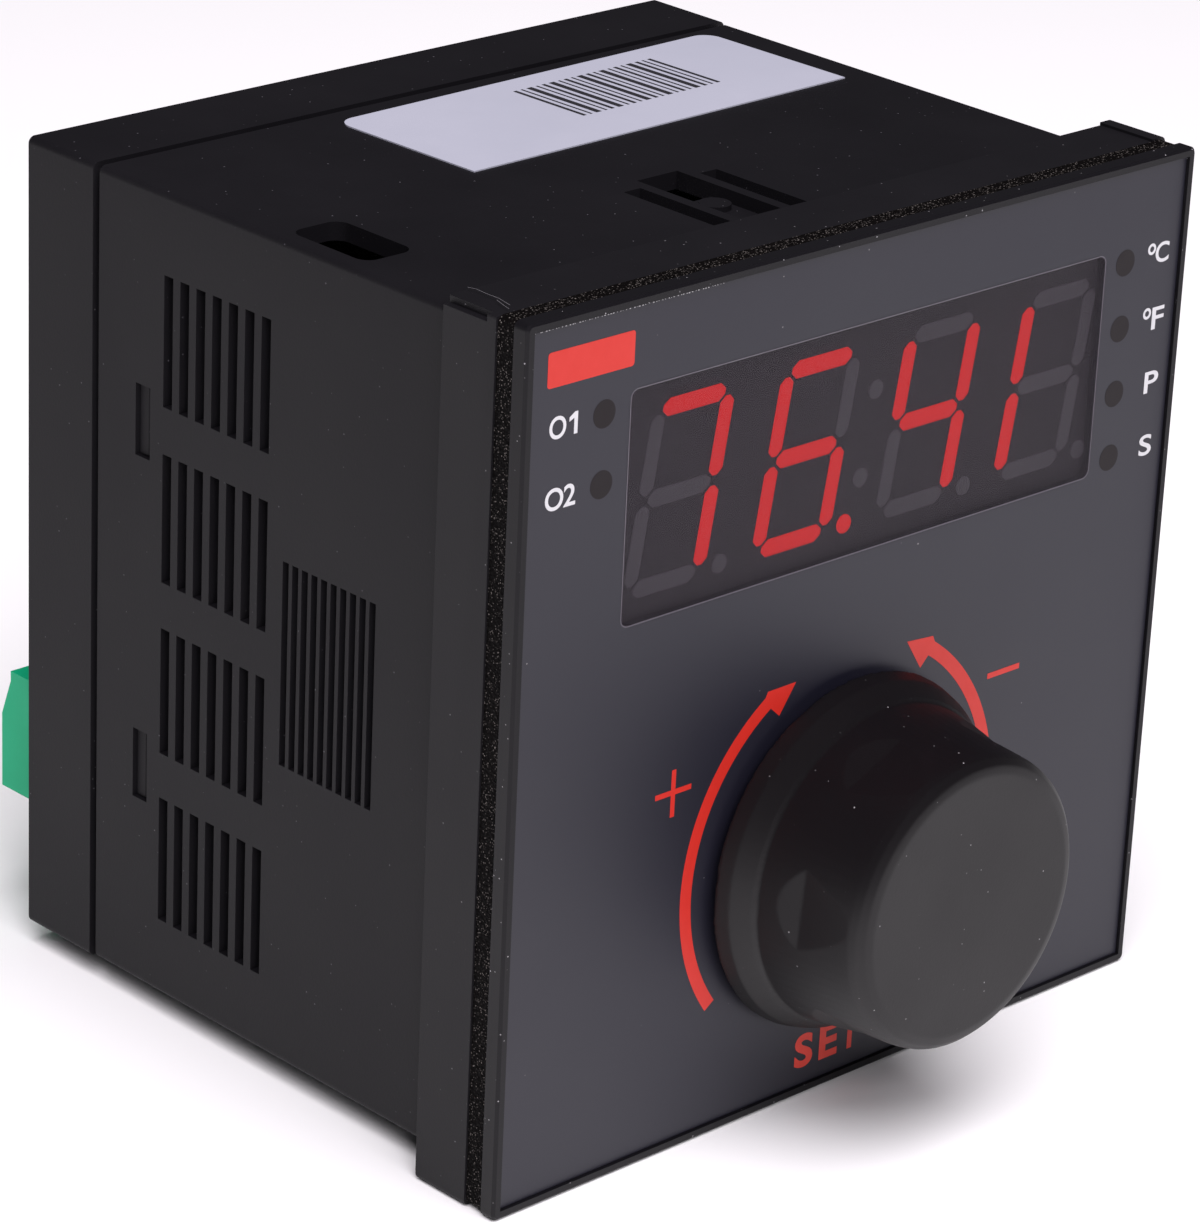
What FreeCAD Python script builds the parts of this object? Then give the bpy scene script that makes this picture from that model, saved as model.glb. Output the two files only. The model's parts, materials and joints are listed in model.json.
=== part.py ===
"""Panel-mount PID temperature controller, square front with a four digit display and a push-and-turn knob.

Millimetres, +X to the right seen from the front, +Y into the panel, +Z up.
The origin is the centre of the panel cut-out, in the plane of the panel's front face:
the gasket, bezel and knob are at negative Y, the clamping collar, case and plugs at positive Y.
"""
import FreeCAD, Part
import math
import os

from FreeCAD import Vector

# ---------------------------------------------------------------- driving dimensions
# front
face_size = 96.0            # square bezel, outside
bezel_depth = 1.9           # bezel flange, front rim to sealing face
bezel_corner = 0.8          # corner radius of the flange
rim_width = 1.0             # raised rim round the overlay
rim_height = 0.4            # rim in front of the overlay
overlay_thick = 0.25        # printed film
spigot_depth = 8.0          # ring of the bezel that goes into the case
spigot_wall = 1.6
spigot_clear = 0.1          # ring to case wall
gasket_thick = 2.5
gasket_inset = 0.25         # gasket edge behind the bezel edge
gasket_clear = 0.1          # gasket to case

# display
window_side = 2.19          # window beyond the outer digits
window_above = 2.35         # window above and below the digits
window_corner = 1.4
window_x = 0.8              # window centre, to the right of the middle of the front
window_below_top = 22.2     # window centre below the top edge of the front
lens_thick = 0.8
lens_clear = 0.05
display_depth = 8.0         # display block, face to board
display_gap = 0.15          # lens to display face
segment_proud = 0.1         # segment faces stand this far in front of the block
digit_count = 4
digit_pitch = 17.84
digit_height = 20.5         # over the outer edges of the top and bottom segments
digit_width = 11.1          # over the outer edges of the upright segments
digit_slant = 9.2           # degrees
segment_bar = 2.0           # width of the three level segments
segment_post = 1.6          # width of the four upright segments
segment_gap = 0.35          # between the ends of two segments
point_size = 1.9            # decimal points and colon
point_reach = 2.9           # decimal point to the right-hand upright segments
digits_shift_x = 0.55       # middle of the digits from the middle of the window
digits_shift_z = -0.15

# indicator lamps behind the film: a clear light pipe in the bezel, and a diode on the board
lamp_pitch = 7.33
lamp_below_top = 11.25      # first lamp below the top edge of the front
left_lamps = 2
right_lamps = 4
left_lamp_off = 0.65        # lamps to the right of midway between the window and the bezel's ring
right_lamp_off = -0.15
pipe_width = 2.6
pipe_clear = 0.05
pipe_wall = 1.2
diode_width = 2.0
diode_thick = 0.8
diode_gap = 0.6             # pipe to diode

# knob and encoder
knob_above_bottom = 28.1    # knob axis above the bottom edge of the front
knob_gap = 1.4              # knob skirt to overlay
knob_travel = 0.5           # push to set
skirt_radius = 19.8
skirt_front_radius = 19.3
skirt_depth = 1.8           # cylindrical part of the skirt
bevel_depth = 2.1
bevel_radius = 18.0
body_step = 0.3             # body of the knob inside the bevel
body_front_radius = 16.2
knob_depth = 17.5           # skirt to front face
knob_round = 1.8            # edge of the front face
round_steps = 3             # cones that make up the rounded edge
knob_wall = 1.9
flute_count = 6
flute_phase = 175.0         # degrees, first thumb flat
flute_start = 2.7           # skirt-side end of a flat, from the front edge of the bevel
flute_valley = 5.3          # deepest line of a flat, from the same edge
flute_end = 11.7            # front end of a flat, from the same edge
flute_half_angle = 15.0     # half the width of a flat at its deepest line
hub_radius = 5.5
knob_rib_thick = 1.4
shaft_dia = 6.0
shaft_flat = 1.5            # depth of the D flat
shaft_clear = 0.03          # radial, shaft in bushing
hub_clear = 0.02            # radial, hub on shaft
bushing_dia = 7.0
bushing_length = 7.0
bushing_clear = 0.1         # radial, bushing in bezel
bushing_plate = 1.0
encoder_width = 12.4
encoder_height = 13.2
encoder_depth = 6.5
nut_flats = 10.0
nut_thick = 2.0
washer_dia = 11.0
washer_thick = 0.5
overlay_hole_dia = 16.0     # hole of the overlay round the nut
rotor_dia = 8.0
rotor_thick = 1.4
rotor_clear = 0.3
plunger_dia = 5.0
plunger_thick = 1.4
plunger_gap = 0.1           # rotor to plunger
dome_dia = 6.0
dome_thick = 0.45

# case
case_inset = 2.5            # square body behind the panel, inside the edge of the front
case_wall = 2.0
case_corner = 0.8
case_length = 64.1          # panel plane to the seam with the rear cap
seam_gap = 0.45
seam_inset = 0.7            # depth of the shadow line at the seam
cap_length = 11.35
cap_proud = 0.15            # cap outside the case, each side
cap_wall = 2.0
cap_lip = 6.0               # cap tongue that goes into the case
cap_lip_wall = 1.2
cap_lip_clear = 0.1

# collar that clamps the panel
collar_depth = 7.5
collar_clear = 0.5          # collar to case, each side
collar_round = 0.7
collar_strip = 2.1          # width of the raised strips, top right and bottom left
collar_relief = 0.35        # rest of the top and bottom faces below the strips
collar_rebate = 0.8         # open-backed rebate, top left and bottom right
collar_rebate_front = 1.3   # wall left in front of the rebate

# openings of the case sides
vent_group_count = 4
vent_slot_count = 7
vent_group_pitch = 19.6
vent_pitch = 2.6
vent_width = 1.45
vent_height = 14.4
vent_centre = 19.75         # centre of the vent field in front of the seam
grip_groove_count = 10
grip_pitch = 1.5
grip_groove = 0.95
grip_depth = 0.8
grip_height = 22.7
grip_centre = 26.05         # behind the panel plane
catch_width = 2.4           # windows for the snap hooks of the rear cap
catch_height = 8.0
catch_inset = 7.9           # window centre in front of the seam
catch_pitch = 39.2
catch_clear = 0.15
hook_recess = 0.5           # hook face below the case surface

# hook slots for clamp brackets, top left and bottom right
hook_slot_width = 6.5
hook_slot_length = 11.7
hook_slot_corner = 1.6
hook_slot_inset = 5.35      # slot centre from the side of the case
hook_slot_y = 29.95

# chassis latch in the top and bottom walls
latch_x = -0.6
latch_front = 12.1          # front end of the latch cut-out
latch_length = 13.3
latch_bay_extra = 2.0       # the middle bay reaches this much further back
latch_bay = 5.8             # middle bay
latch_bar = 1.4             # bars beside the bay
latch_slot = 2.4            # slots outside the bars
tongue_width = 4.6
tongue_length = 9.5
tongue_drop = 1.2           # tongue face below the case surface
tongue_thick = 1.1
boss_dia = 3.4
boss_height = 0.6

# boards
board_thick = 1.6
front_board_clear = 0.3     # board to bezel ring
main_board_above_floor = 5.3    # top face of the main board above the inside of the case
main_board_side_gap = 1.5   # board edge to the case wall
main_board_front = 9.0
main_board_back_gap = 3.0   # in front of the rear wall of the cap
rail_depth = 2.6
rail_thick = 1.4
rail_clear = 0.15
latch_pillar = 5.0          # pillars with snap hooks that hold the front board
latch_inset = 4.0           # pillar centres inside the edge of the front board
latch_below = 7.0           # upper pillars below the window
finger_width = 3.0
finger_thick = 1.4
finger_clear = 0.1
hook_reach = 0.7
hook_thick = 1.4

# plug-in terminals
pole_pitch = 5.08
pole_count = 6
plug_side_inset = 5.5       # outer end of each plug from the side of the case
plug_height = 14.5
plug_top_above = 25.1       # top of the plugs above the bottom of the case
plug_out = 11.9             # plug behind the rear face of the cap
plug_in = 7.6               # plug inside the header
plug_bevel_back = 1.6       # upper wire face set in by this much
plug_bevel_low = 5.6        # and sloping back out over this height
plug_nose_drop = 1.6        # nose smaller than the block, each side
plug_shoulder_gap = 0.6     # shoulder of the plug behind the cap
header_wall = 1.2
header_clear = 0.3          # plug in header
header_floor_gap = 1.2      # nose of the plug to the header's floor
header_foot = 3.0
header_opening_clear = 0.4  # header in the cap's opening
pin_size = 1.0
pin_length = 7.0
pin_clear = 0.3
wire_port_width = 3.7
wire_port_height = 3.9
wire_port_depth = 7.5
screw_hole_dia = 3.7
screw_hole_depth = 2.5      # block top to the clamps
screw_behind = 4.6          # screw row behind the plug's shoulder
clamp_floor = 2.0           # under the clamps
clamp_length = 4.2
clamp_wall = 0.5
clamp_clear = 0.1

# parts on the main board
relay_length = 28.0
relay_width = 12.6
relay_height = 15.7
relay_raise = 0.3
relay_pin = 1.0
relay_pin_edge = 2.5        # first and last pin from the ends of the relay
relay_pin_pitch = 5.0       # last pin to the one before it
relay_count = 2
relay_gap = 2.4
parts_row_off = 0.25        # middle of the row of parts to the right of the board's middle
relay_front = 6.0           # relays behind the front edge of the board
core_beside = 6.4           # transformer to the relays
core_behind = 17.0          # behind the front edge of the board
core_width = 24.0
core_depth = 10.0
bobbin_depth = 20.0
core_height = 19.0
core_leg = 5.0
bobbin_flange = 1.4
capacitor_dia = 12.5
capacitor_height = 20.0
capacitor_gap = 1.5         # between the two
capacitor_beside = 2.0      # to the transformer
link_length = 30.5
link_width = 5.0
link_height = 8.5
link_pin_inset = 1.0        # row of pins inside each end of the strip
link_pin_reach = 4.0        # pins on to the main board
link_pin_thick = 1.2
chip_size = 12.0
chip_thick = 1.6
chip_x = -14.0              # chip centre on the front board
chip_z = 8.0
chip_lead_out = 1.2         # leads stand out of each side
chip_lead_corner = 1.0      # corner of the chip without leads
chip_lead_thick = 0.5

# rating label on top of the case
label_width = 56.4
label_depth = 21.5
label_thick = 0.15
label_corner = 2.2
label_x = 12.5
label_turn = 1.3            # degrees, stuck on slightly askew
label_seam_gap = 2.6

# ---------------------------------------------------------------- derived places
half_face = face_size / 2
half_case = half_face - case_inset
inner_case = half_case - case_wall
window_width = (digit_count - 1) * digit_pitch + digit_width + 2 * window_side
window_height = digit_height + 2 * window_above
window_z = half_face - window_below_top
knob_z = knob_above_bottom - half_face
seal_y = -gasket_thick                          # rear of the bezel flange
front_y = seal_y - bezel_depth                  # front of the rim
overlay_y = front_y + rim_height                # front of the overlay
web_y = overlay_y + overlay_thick               # front of the bezel plate
display_y = overlay_y + lens_thick + display_gap + segment_proud
board_y = display_y + display_depth             # front face of the front board
case_end = case_length
cap_start = case_end + seam_gap
cap_end = cap_start + cap_length
encoder_y = board_y - encoder_depth             # front face of the encoder
knob_y = overlay_y - knob_gap                   # rear of the knob skirt
bevel_front_y = knob_y - skirt_depth - bevel_depth
knob_front_y = knob_y - knob_depth
body_radius = bevel_radius - body_step
spigot_half = inner_case - spigot_clear
ring_inside = spigot_half - spigot_wall
left_lamp_x = (window_x - window_width / 2 - ring_inside) / 2 + left_lamp_off
right_lamp_x = (window_x + window_width / 2 + ring_inside) / 2 + right_lamp_off
lamp_top_z = half_face - lamp_below_top
lamp_places = [(left_lamp_x, lamp_top_z - i * lamp_pitch) for i in range(left_lamps)]
lamp_places += [(right_lamp_x, lamp_top_z - i * lamp_pitch) for i in range(right_lamps)]
front_board_half = ring_inside - front_board_clear
pipe_end = board_y - diode_thick - diode_gap
main_board_z = main_board_above_floor - inner_case
main_board_width = 2 * (inner_case - main_board_side_gap)
relays_width = relay_count * (relay_width + relay_gap) - relay_gap
parts_row = relays_width + core_beside + core_width + capacitor_beside + capacitor_dia
relays_x = parts_row_off - parts_row / 2        # left side of the first relay
core_x = relays_x + relays_width + core_beside + core_width / 2
relay_y = main_board_front + relay_front
core_y = main_board_front + core_behind

hook_slot_x = half_case - hook_slot_inset
plug_outer_x = half_case - plug_side_inset
plug_top_z = plug_top_above - half_case
plug_length = pole_pitch * pole_count
plug_inner_x = plug_outer_x - plug_length
plug_back = cap_end + plug_out
plug_block_front = cap_end + plug_shoulder_gap
plug_nose_front = plug_block_front - plug_in
header_front = plug_nose_front - header_floor_gap - header_wall
plug_low_z = plug_top_z - plug_height
nose_low_z = plug_low_z + plug_nose_drop
nose_high_z = plug_top_z - plug_nose_drop
pin_z = (nose_low_z + nose_high_z) / 2
contact_end = header_front + header_wall + pin_length + 1.0
pole_x = [plug_inner_x + pole_pitch * (i + 0.5) for i in range(pole_count)]
screw_y = plug_block_front + screw_behind
clamp_top_z = plug_top_z - screw_hole_depth
clamp_low_z = plug_low_z + clamp_floor

latch_x_out = front_board_half - latch_inset
latch_places = [(x, z) for x in (-latch_x_out, latch_x_out)
                for z in (-latch_x_out, window_z - window_height / 2 - latch_below)]


# ---------------------------------------------------------------- small helpers
def spread(count, pitch, middle=0.0):
    """Evenly spaced places about a middle."""
    return [middle + (i - (count - 1) / 2) * pitch for i in range(count)]


def block(x, y, z):
    """A box from three (low, high) pairs."""
    return Part.makeBox(x[1] - x[0], y[1] - y[0], z[1] - z[0], Vector(x[0], y[0], z[0]))


def centred(value, width):
    return value - width / 2, value + width / 2


def rounded(shape, radius, along):
    """Rounds the straight edges of a block that run along one axis."""
    axis = {"x": Vector(1, 0, 0), "y": Vector(0, 1, 0), "z": Vector(0, 0, 1)}[along]
    edges = [e for e in shape.Edges if abs(abs(e.tangentAt(e.FirstParameter).dot(axis)) - 1) < 1e-6]
    return shape.makeFillet(radius, edges)


def square(half, y0, y1, corner=0.0):
    """A square block about the Y axis, with rounded corners."""
    body = block((-half, half), (y0, y1), (-half, half))
    return rounded(body, corner, "y") if corner > 0 else body


def disc(x, z, radius, y0, y1):
    """A round bar along Y."""
    return Part.makeCylinder(radius, y1 - y0, Vector(x, y0, z), Vector(0, 1, 0))


def post(x, y, radius, z0, z1):
    """A round bar along Z."""
    return Part.makeCylinder(radius, z1 - z0, Vector(x, y, z0), Vector(0, 0, 1))


def prism(points, push):
    """A polygon, given as vectors, pushed along a vector."""
    return Part.Face(Part.makePolygon(points + [points[0]])).extrude(push)


def square_rod(x, z, width, y0, y1):
    """A square bar along Y."""
    return block(centred(x, width), (y0, y1), centred(z, width))


def regular_rod(x, z, radius, sides, y0, y1):
    """A bar along Y with a regular polygon as its section; radius is to the corners."""
    turns = [math.radians(360.0 * i / sides) for i in range(sides)]
    return prism([Vector(x + radius * math.cos(t), y0, z + radius * math.sin(t)) for t in turns],
                 Vector(0, y1 - y0, 0))


def turned_at(x, z, profile):
    """A profile of (radius, y) points turned about the line along Y at (x, z)."""
    points = [Vector(x + r, y, z) for r, y in profile]
    return Part.Face(Part.makePolygon(points + [points[0]])).revolve(Vector(x, 0, z), Vector(0, 1, 0), 360)


def both_sides(make):
    """A feature of one side and its mirror image on the other."""
    side = make()
    return side.fuse(side.mirror(Vector(0, 0, 0), Vector(1, 0, 0)))


def turned_over(shape):
    """The same feature turned half a turn about the Y axis."""
    copy = shape.copy()
    copy.rotate(Vector(0, 0, 0), Vector(0, 1, 0), 180)
    return copy


parts = {}


# ---------------------------------------------------------------- front
def window_block(clear, y0, y1):
    """A block with the outline of the window, smaller by a clearance all round."""
    body = block(centred(window_x, window_width - 2 * clear), (y0, y1),
                 centred(window_z, window_height - 2 * clear))
    return rounded(body, window_corner, "y")


def front_bezel():
    """One moulding: flange with a raised rim, plate with openings, and the ring that enters the case."""
    flange = square(half_face, front_y, seal_y, bezel_corner)
    front_edges = [e for e in flange.Edges if e.BoundBox.YMax < front_y + 1e-6]
    flange = flange.makeChamfer(bezel_depth * 0.16, front_edges)
    body = flange.cut(square(half_face - rim_width, front_y - 1, web_y))
    ring = square(spigot_half, seal_y, seal_y + spigot_depth)
    ring = ring.cut(square(spigot_half - spigot_wall, seal_y - 1, seal_y + spigot_depth + 1))
    body = body.fuse(ring)
    shroud = block(centred(window_x, window_width + 2 * spigot_wall), (seal_y, display_y + 1),
                   centred(window_z, window_height + 2 * spigot_wall))
    body = body.fuse(shroud)
    body = body.fuse(block(centred(0, encoder_width), (seal_y, encoder_y), centred(knob_z, encoder_height)))
    for x, z in lamp_places:
        body = body.fuse(square_rod(x, z, pipe_width + 2 * pipe_wall, seal_y, pipe_end))
    body = body.fuse([board_latch(x, z) for x, z in latch_places])
    body = body.cut(window_block(0, front_y, display_y + 2))
    for x, z in lamp_places:
        body = body.cut(square_rod(x, z, pipe_width + 2 * pipe_clear, front_y, board_y))
    body = body.cut(disc(0, knob_z, bushing_dia / 2 + bushing_clear, front_y, encoder_y + 1))
    return body.removeSplitter()


def board_latch(x, z):
    """A pillar that the front board rests on, with a finger through the board and a hook behind it."""
    rear = board_y + board_thick + 0.05
    pillar = square_rod(x, z, latch_pillar, seal_y, board_y)
    finger = block(centred(x, finger_width), (board_y - 1, rear + hook_thick), centred(z, finger_thick))
    edge = z + finger_thick / 2
    left = x - finger_width / 2
    hook = prism([Vector(left, rear, z), Vector(left, rear, edge + hook_reach),
                  Vector(left, rear + hook_thick, edge), Vector(left, rear + hook_thick, z)],
                 Vector(finger_width, 0, 0))
    return pillar.fuse([finger, hook])


def front_overlay():
    """Printed film inside the rim, cut out round the window and the knob's nut."""
    film = square(half_face - rim_width - lens_clear, overlay_y, web_y)
    film = film.cut(window_block(0, overlay_y - 1, web_y + 1))
    return film.cut(disc(0, knob_z, overlay_hole_dia / 2, overlay_y - 1, web_y + 1))


def light_pipes():
    """Clear rods that carry the lamps' light through the bezel to the film."""
    return Part.makeCompound([square_rod(x, z, pipe_width, web_y, pipe_end) for x, z in lamp_places])


def indicator_diodes():
    return Part.makeCompound([square_rod(x, z, diode_width, board_y - diode_thick, board_y)
                              for x, z in lamp_places])


def display_module():
    """Display block: fills the window frame of the bezel and stands on the front board."""
    return window_block(lens_clear, display_y, board_y)


def on_display(x, z):
    """A place on the slanted face of the digits; z is the height above their middle."""
    return x + z * math.tan(math.radians(digit_slant)), window_z + digits_shift_z + z


def bar(length, width, x, z, upright):
    """One segment: a bar with pointed, blunted ends."""
    tip = width * 0.42
    blunt = width * 0.16
    half = length / 2
    side = width / 2
    outline = [(-half, -blunt), (-half + tip, -side), (half - tip, -side),
               (half, -blunt), (half, blunt), (half - tip, side), (-half + tip, side), (-half, blunt)]
    if upright:
        outline = [(-b, a) for a, b in outline]
    corners = [on_display(x + a, z + b) for a, b in outline]
    return prism([Vector(a, display_y, b) for a, b in corners], Vector(0, -segment_proud, 0))


def point(x, z):
    """A decimal point or colon dot."""
    x, z = on_display(x, z)
    return regular_rod(x, z, point_size / 2, 12, display_y - segment_proud, display_y)


def display_segments():
    """Seven bars and a point for each digit, and a colon in the middle."""
    span = (digit_height - segment_bar) / 2         # between the centre lines of the level bars
    reach = digit_width - segment_post              # between the centre lines of the upright bars
    level = reach - segment_gap * 2 + segment_post * 0.25
    upright = span - segment_gap * 2 + segment_bar * 0.25
    middle = window_x + digits_shift_x
    pieces = []
    for x in spread(digit_count, digit_pitch, middle):
        pieces += [bar(level, segment_bar, x, z, False) for z in (-span, 0, span)]
        pieces += [bar(upright, segment_post, a, b, True)
                   for a in spread(2, reach, x) for b in spread(2, span)]
        pieces.append(point(x + reach / 2 + point_reach, -span))
    pieces += [point(middle, z) for z in spread(2, span)]
    return Part.makeCompound(pieces)


def front_board():
    """Circuit board behind the bezel, with a slot for each snap finger."""
    board = square(front_board_half, board_y, board_y + board_thick)
    through = (board_y - 1, board_y + board_thick + 1)
    for x, z in latch_places:
        low = z - finger_thick / 2 - finger_clear
        high = z + finger_thick / 2 + hook_reach + finger_clear
        board = board.cut(block(centred(x, finger_width + 2 * finger_clear), through, (low, high)))
    return board


# ---------------------------------------------------------------- knob and encoder
def knob_outline_radius(y):
    """Radius of the tapered knob body at a place along its axis."""
    share = (bevel_front_y - y) / (bevel_front_y - knob_front_y - knob_round)
    return body_radius + (body_front_radius - body_radius) * share


def thumb_flat(angle):
    """Cutter for one thumb flat: a steep plane and a long shallow one that meet in a level valley."""
    start = bevel_front_y - flute_start
    valley = bevel_front_y - flute_valley
    end = bevel_front_y - flute_end
    low = knob_outline_radius(valley) * math.cos(math.radians(flute_half_angle))
    steep = (start - valley) / (knob_outline_radius(start) - low)
    out = skirt_radius
    section = [(low, valley), (out, valley + steep * (out - low)), (out, end - 2),
               (knob_outline_radius(end) + 0.1, end - 2), (knob_outline_radius(end), end)]
    width = skirt_radius
    cutter = prism([Vector(r, y, knob_z - width / 2) for r, y in section], Vector(0, 0, width))
    cutter.rotate(Vector(0, 0, knob_z), Vector(0, -1, 0), angle)
    return cutter


def control_knob():
    """Hollow moulded knob: skirt, bevel, fluted body, hub with a D bore and stiffening ribs."""
    outline = [(0, knob_y), (skirt_radius, knob_y), (skirt_front_radius, knob_y - skirt_depth),
               (bevel_radius, bevel_front_y), (body_radius, bevel_front_y)]
    for step in range(round_steps + 1):
        turn = math.radians(90.0 * step / round_steps)
        outline.append((body_front_radius - knob_round * (1 - math.cos(turn)),
                        knob_front_y + knob_round * (1 - math.sin(turn))))
    outline.append((0, knob_front_y))
    body = turned_at(0, knob_z, outline)
    for i in range(flute_count):
        body = body.cut(thumb_flat(flute_phase + i * 360.0 / flute_count))
    inside_front = knob_front_y + knob_wall
    hollow = turned_at(0, knob_z, [(0, knob_y + 1), (skirt_radius - knob_wall, knob_y + 1),
                                   (body_radius - knob_wall * 1.3, bevel_front_y),
                                   (body_front_radius - knob_wall * 1.3, inside_front), (0, inside_front)])
    body = body.cut(hollow)
    hub_y = bevel_front_y
    hub = disc(0, knob_z, hub_radius, inside_front - 0.5, hub_y)
    ribs = []
    for i in range(flute_count):
        rib = block((hub_radius - 1, body_front_radius - knob_wall), (inside_front - 0.5, hub_y),
                    centred(knob_z, knob_rib_thick))
        rib.rotate(Vector(0, 0, knob_z), Vector(0, -1, 0), flute_phase + (i + 0.5) * 360.0 / flute_count)
        ribs.append(rib)
    body = body.fuse([hub] + ribs)
    return body.cut(shaft_bar(hub_clear, inside_front + 1, hub_y + 1, True)).removeSplitter()


def shaft_bar(clear, y0, y1, with_flat):
    """A length of the knob shaft, or of the hole for it, with or without the D flat."""
    radius = shaft_dia / 2 + clear
    bar_shape = disc(0, knob_z, radius, y0, y1)
    if not with_flat:
        return bar_shape
    top = knob_z + shaft_dia / 2 - shaft_flat + clear
    return bar_shape.cut(block((-radius - 1, radius + 1), (y0 - 1, y1 + 1), (top, top + shaft_dia)))


def encoder_shaft():
    """Steel shaft with a D flat in the knob and a flange that keeps it in the encoder."""
    tip = knob_front_y + knob_wall + 1.5
    bushing_front = encoder_y - bushing_length
    flat_start = (bushing_front + bevel_front_y) / 2
    plate_rear = encoder_y + bushing_plate
    shaft = shaft_bar(0, tip, flat_start, True)
    shaft = shaft.fuse(shaft_bar(0, flat_start, plate_rear + rotor_clear, False))
    rotor = disc(0, knob_z, rotor_dia / 2, plate_rear + rotor_clear, plate_rear + rotor_clear + rotor_thick)
    return shaft.fuse(rotor).removeSplitter()


def encoder_places():
    """Y of the plunger's front, plunger's rear and the dome's front inside the encoder."""
    front = encoder_y + bushing_plate + rotor_clear + rotor_thick + plunger_gap
    rear = front + plunger_thick
    return front, rear, rear + knob_travel + rotor_clear


def encoder_body():
    """Moulded housing with the round chamber for the shaft's flange, the plunger and the dome."""
    front, rear, dome = encoder_places()
    body = block(centred(0, encoder_width), (encoder_y + bushing_plate, board_y),
                 centred(knob_z, encoder_height))
    cavity = disc(0, knob_z, rotor_dia / 2 + rotor_clear, encoder_y, dome + dome_thick)
    return body.cut(cavity)


def encoder_bushing():
    """Die-cast front plate with the threaded neck that the shaft turns in."""
    plate = block(centred(0, encoder_width), (encoder_y, encoder_y + bushing_plate),
                  centred(knob_z, encoder_height))
    neck = disc(0, knob_z, bushing_dia / 2, encoder_y - bushing_length, encoder_y)
    bore = disc(0, knob_z, shaft_dia / 2 + shaft_clear, encoder_y - bushing_length - 1, encoder_y + 2)
    return plate.fuse(neck).cut(bore)


def encoder_washer():
    """Plain washer between the bezel plate and the nut."""
    ring = disc(0, knob_z, washer_dia / 2, web_y - washer_thick, web_y)
    return ring.cut(disc(0, knob_z, bushing_dia / 2 + bushing_clear, web_y - 2, web_y + 1))


def encoder_nut():
    """Thin hexagon nut on the encoder's neck."""
    front = web_y - washer_thick - nut_thick
    nut = regular_rod(0, knob_z, nut_flats / math.sqrt(3), 6, front, front + nut_thick)
    return nut.cut(disc(0, knob_z, bushing_dia / 2, front - 1, front + nut_thick + 1))


# ---------------------------------------------------------------- case
def vent_field():
    """Cutters for the vent slots of the left side."""
    through = (-half_case - 1, -inner_case + 1)
    slots = []
    for z in spread(vent_group_count, vent_group_pitch):
        for y in spread(vent_slot_count, vent_pitch, case_end - vent_centre):
            slots.append(block(through, centred(y, vent_width), centred(z, vent_height)))
    return Part.makeCompound(slots)


def grip_field():
    """Cutters for the blind grooves of the left finger grip."""
    shallow = (-half_case - 1, -half_case + grip_depth)
    return Part.makeCompound([block(shallow, centred(y, grip_groove), centred(0, grip_height))
                              for y in spread(grip_groove_count, grip_pitch, grip_centre)])


def catch_windows():
    """Cutters for the two windows of the left side that the cap's hooks snap into."""
    through = (-half_case - 1, -inner_case + 1)
    y = centred(case_end - catch_inset, catch_width)
    return Part.makeCompound([block(through, y, centred(z, catch_height)) for z in spread(2, catch_pitch)])


def hook_slot():
    """Cutter for the top left slot that takes the hook of a clamp bracket."""
    body = block(centred(-hook_slot_x, hook_slot_width), centred(hook_slot_y, hook_slot_length),
                 (inner_case - 1, half_case + 1))
    return rounded(body, hook_slot_corner, "z")


def latch_opening():
    """Cutters of the chassis latch in the top wall: a middle bay and a slot each side of it."""
    z = (inner_case - 1, half_case + 1)
    rear = latch_front + latch_length
    bay = block(centred(latch_x, latch_bay), (latch_front, rear + latch_bay_extra), z)
    offset = latch_bay / 2 + latch_bar + latch_slot / 2
    slots = [block(centred(x, latch_slot), (latch_front, rear), z) for x in spread(2, 2 * offset, latch_x)]
    return Part.makeCompound([bay] + slots)


def latch_tongue():
    """Springy tongue in the middle bay, with the round boss that locks the inner chassis."""
    top = half_case - tongue_drop
    tongue = block(centred(latch_x, tongue_width), (latch_front - 0.5, latch_front + tongue_length),
                   (top - tongue_thick, top))
    boss_y = latch_front + tongue_length - boss_dia / 2 - 1.2
    return tongue.fuse(post(latch_x, boss_y, boss_dia / 2, top - 0.1, top + boss_height))


def board_rail():
    """Pair of ribs in the left wall that guide the edge of the main board."""
    x = (-inner_case - 0.5, -inner_case + rail_depth)
    y = (main_board_front - 1, case_end - cap_lip - 1)
    low = main_board_z - board_thick - rail_clear
    high = main_board_z + rail_clear
    ribs = block(x, y, (low - rail_thick, low))
    return ribs.fuse(block(x, y, (high, high + rail_thick)))


def main_case():
    """Square tube with vents, grips, catch windows, hook slots, latches and board rails."""
    body = square(half_case, seal_y, case_end, case_corner)
    body = body.cut(square(inner_case, seal_y - 1, case_end + 1))
    step = square(half_case + 1, case_end - seam_gap, case_end + 1)
    step = step.cut(square(half_case - seam_inset, case_end - seam_gap - 1, case_end + 2))
    body = body.cut(step)
    body = body.fuse(both_sides(board_rail))
    body = body.cut(both_sides(vent_field))
    body = body.cut(both_sides(grip_field))
    body = body.cut(both_sides(catch_windows))
    body = body.cut([hook_slot(), turned_over(hook_slot())])
    body = body.cut([latch_opening(), turned_over(latch_opening())])
    body = body.fuse([latch_tongue(), turned_over(latch_tongue())])
    return body.removeSplitter()


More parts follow.
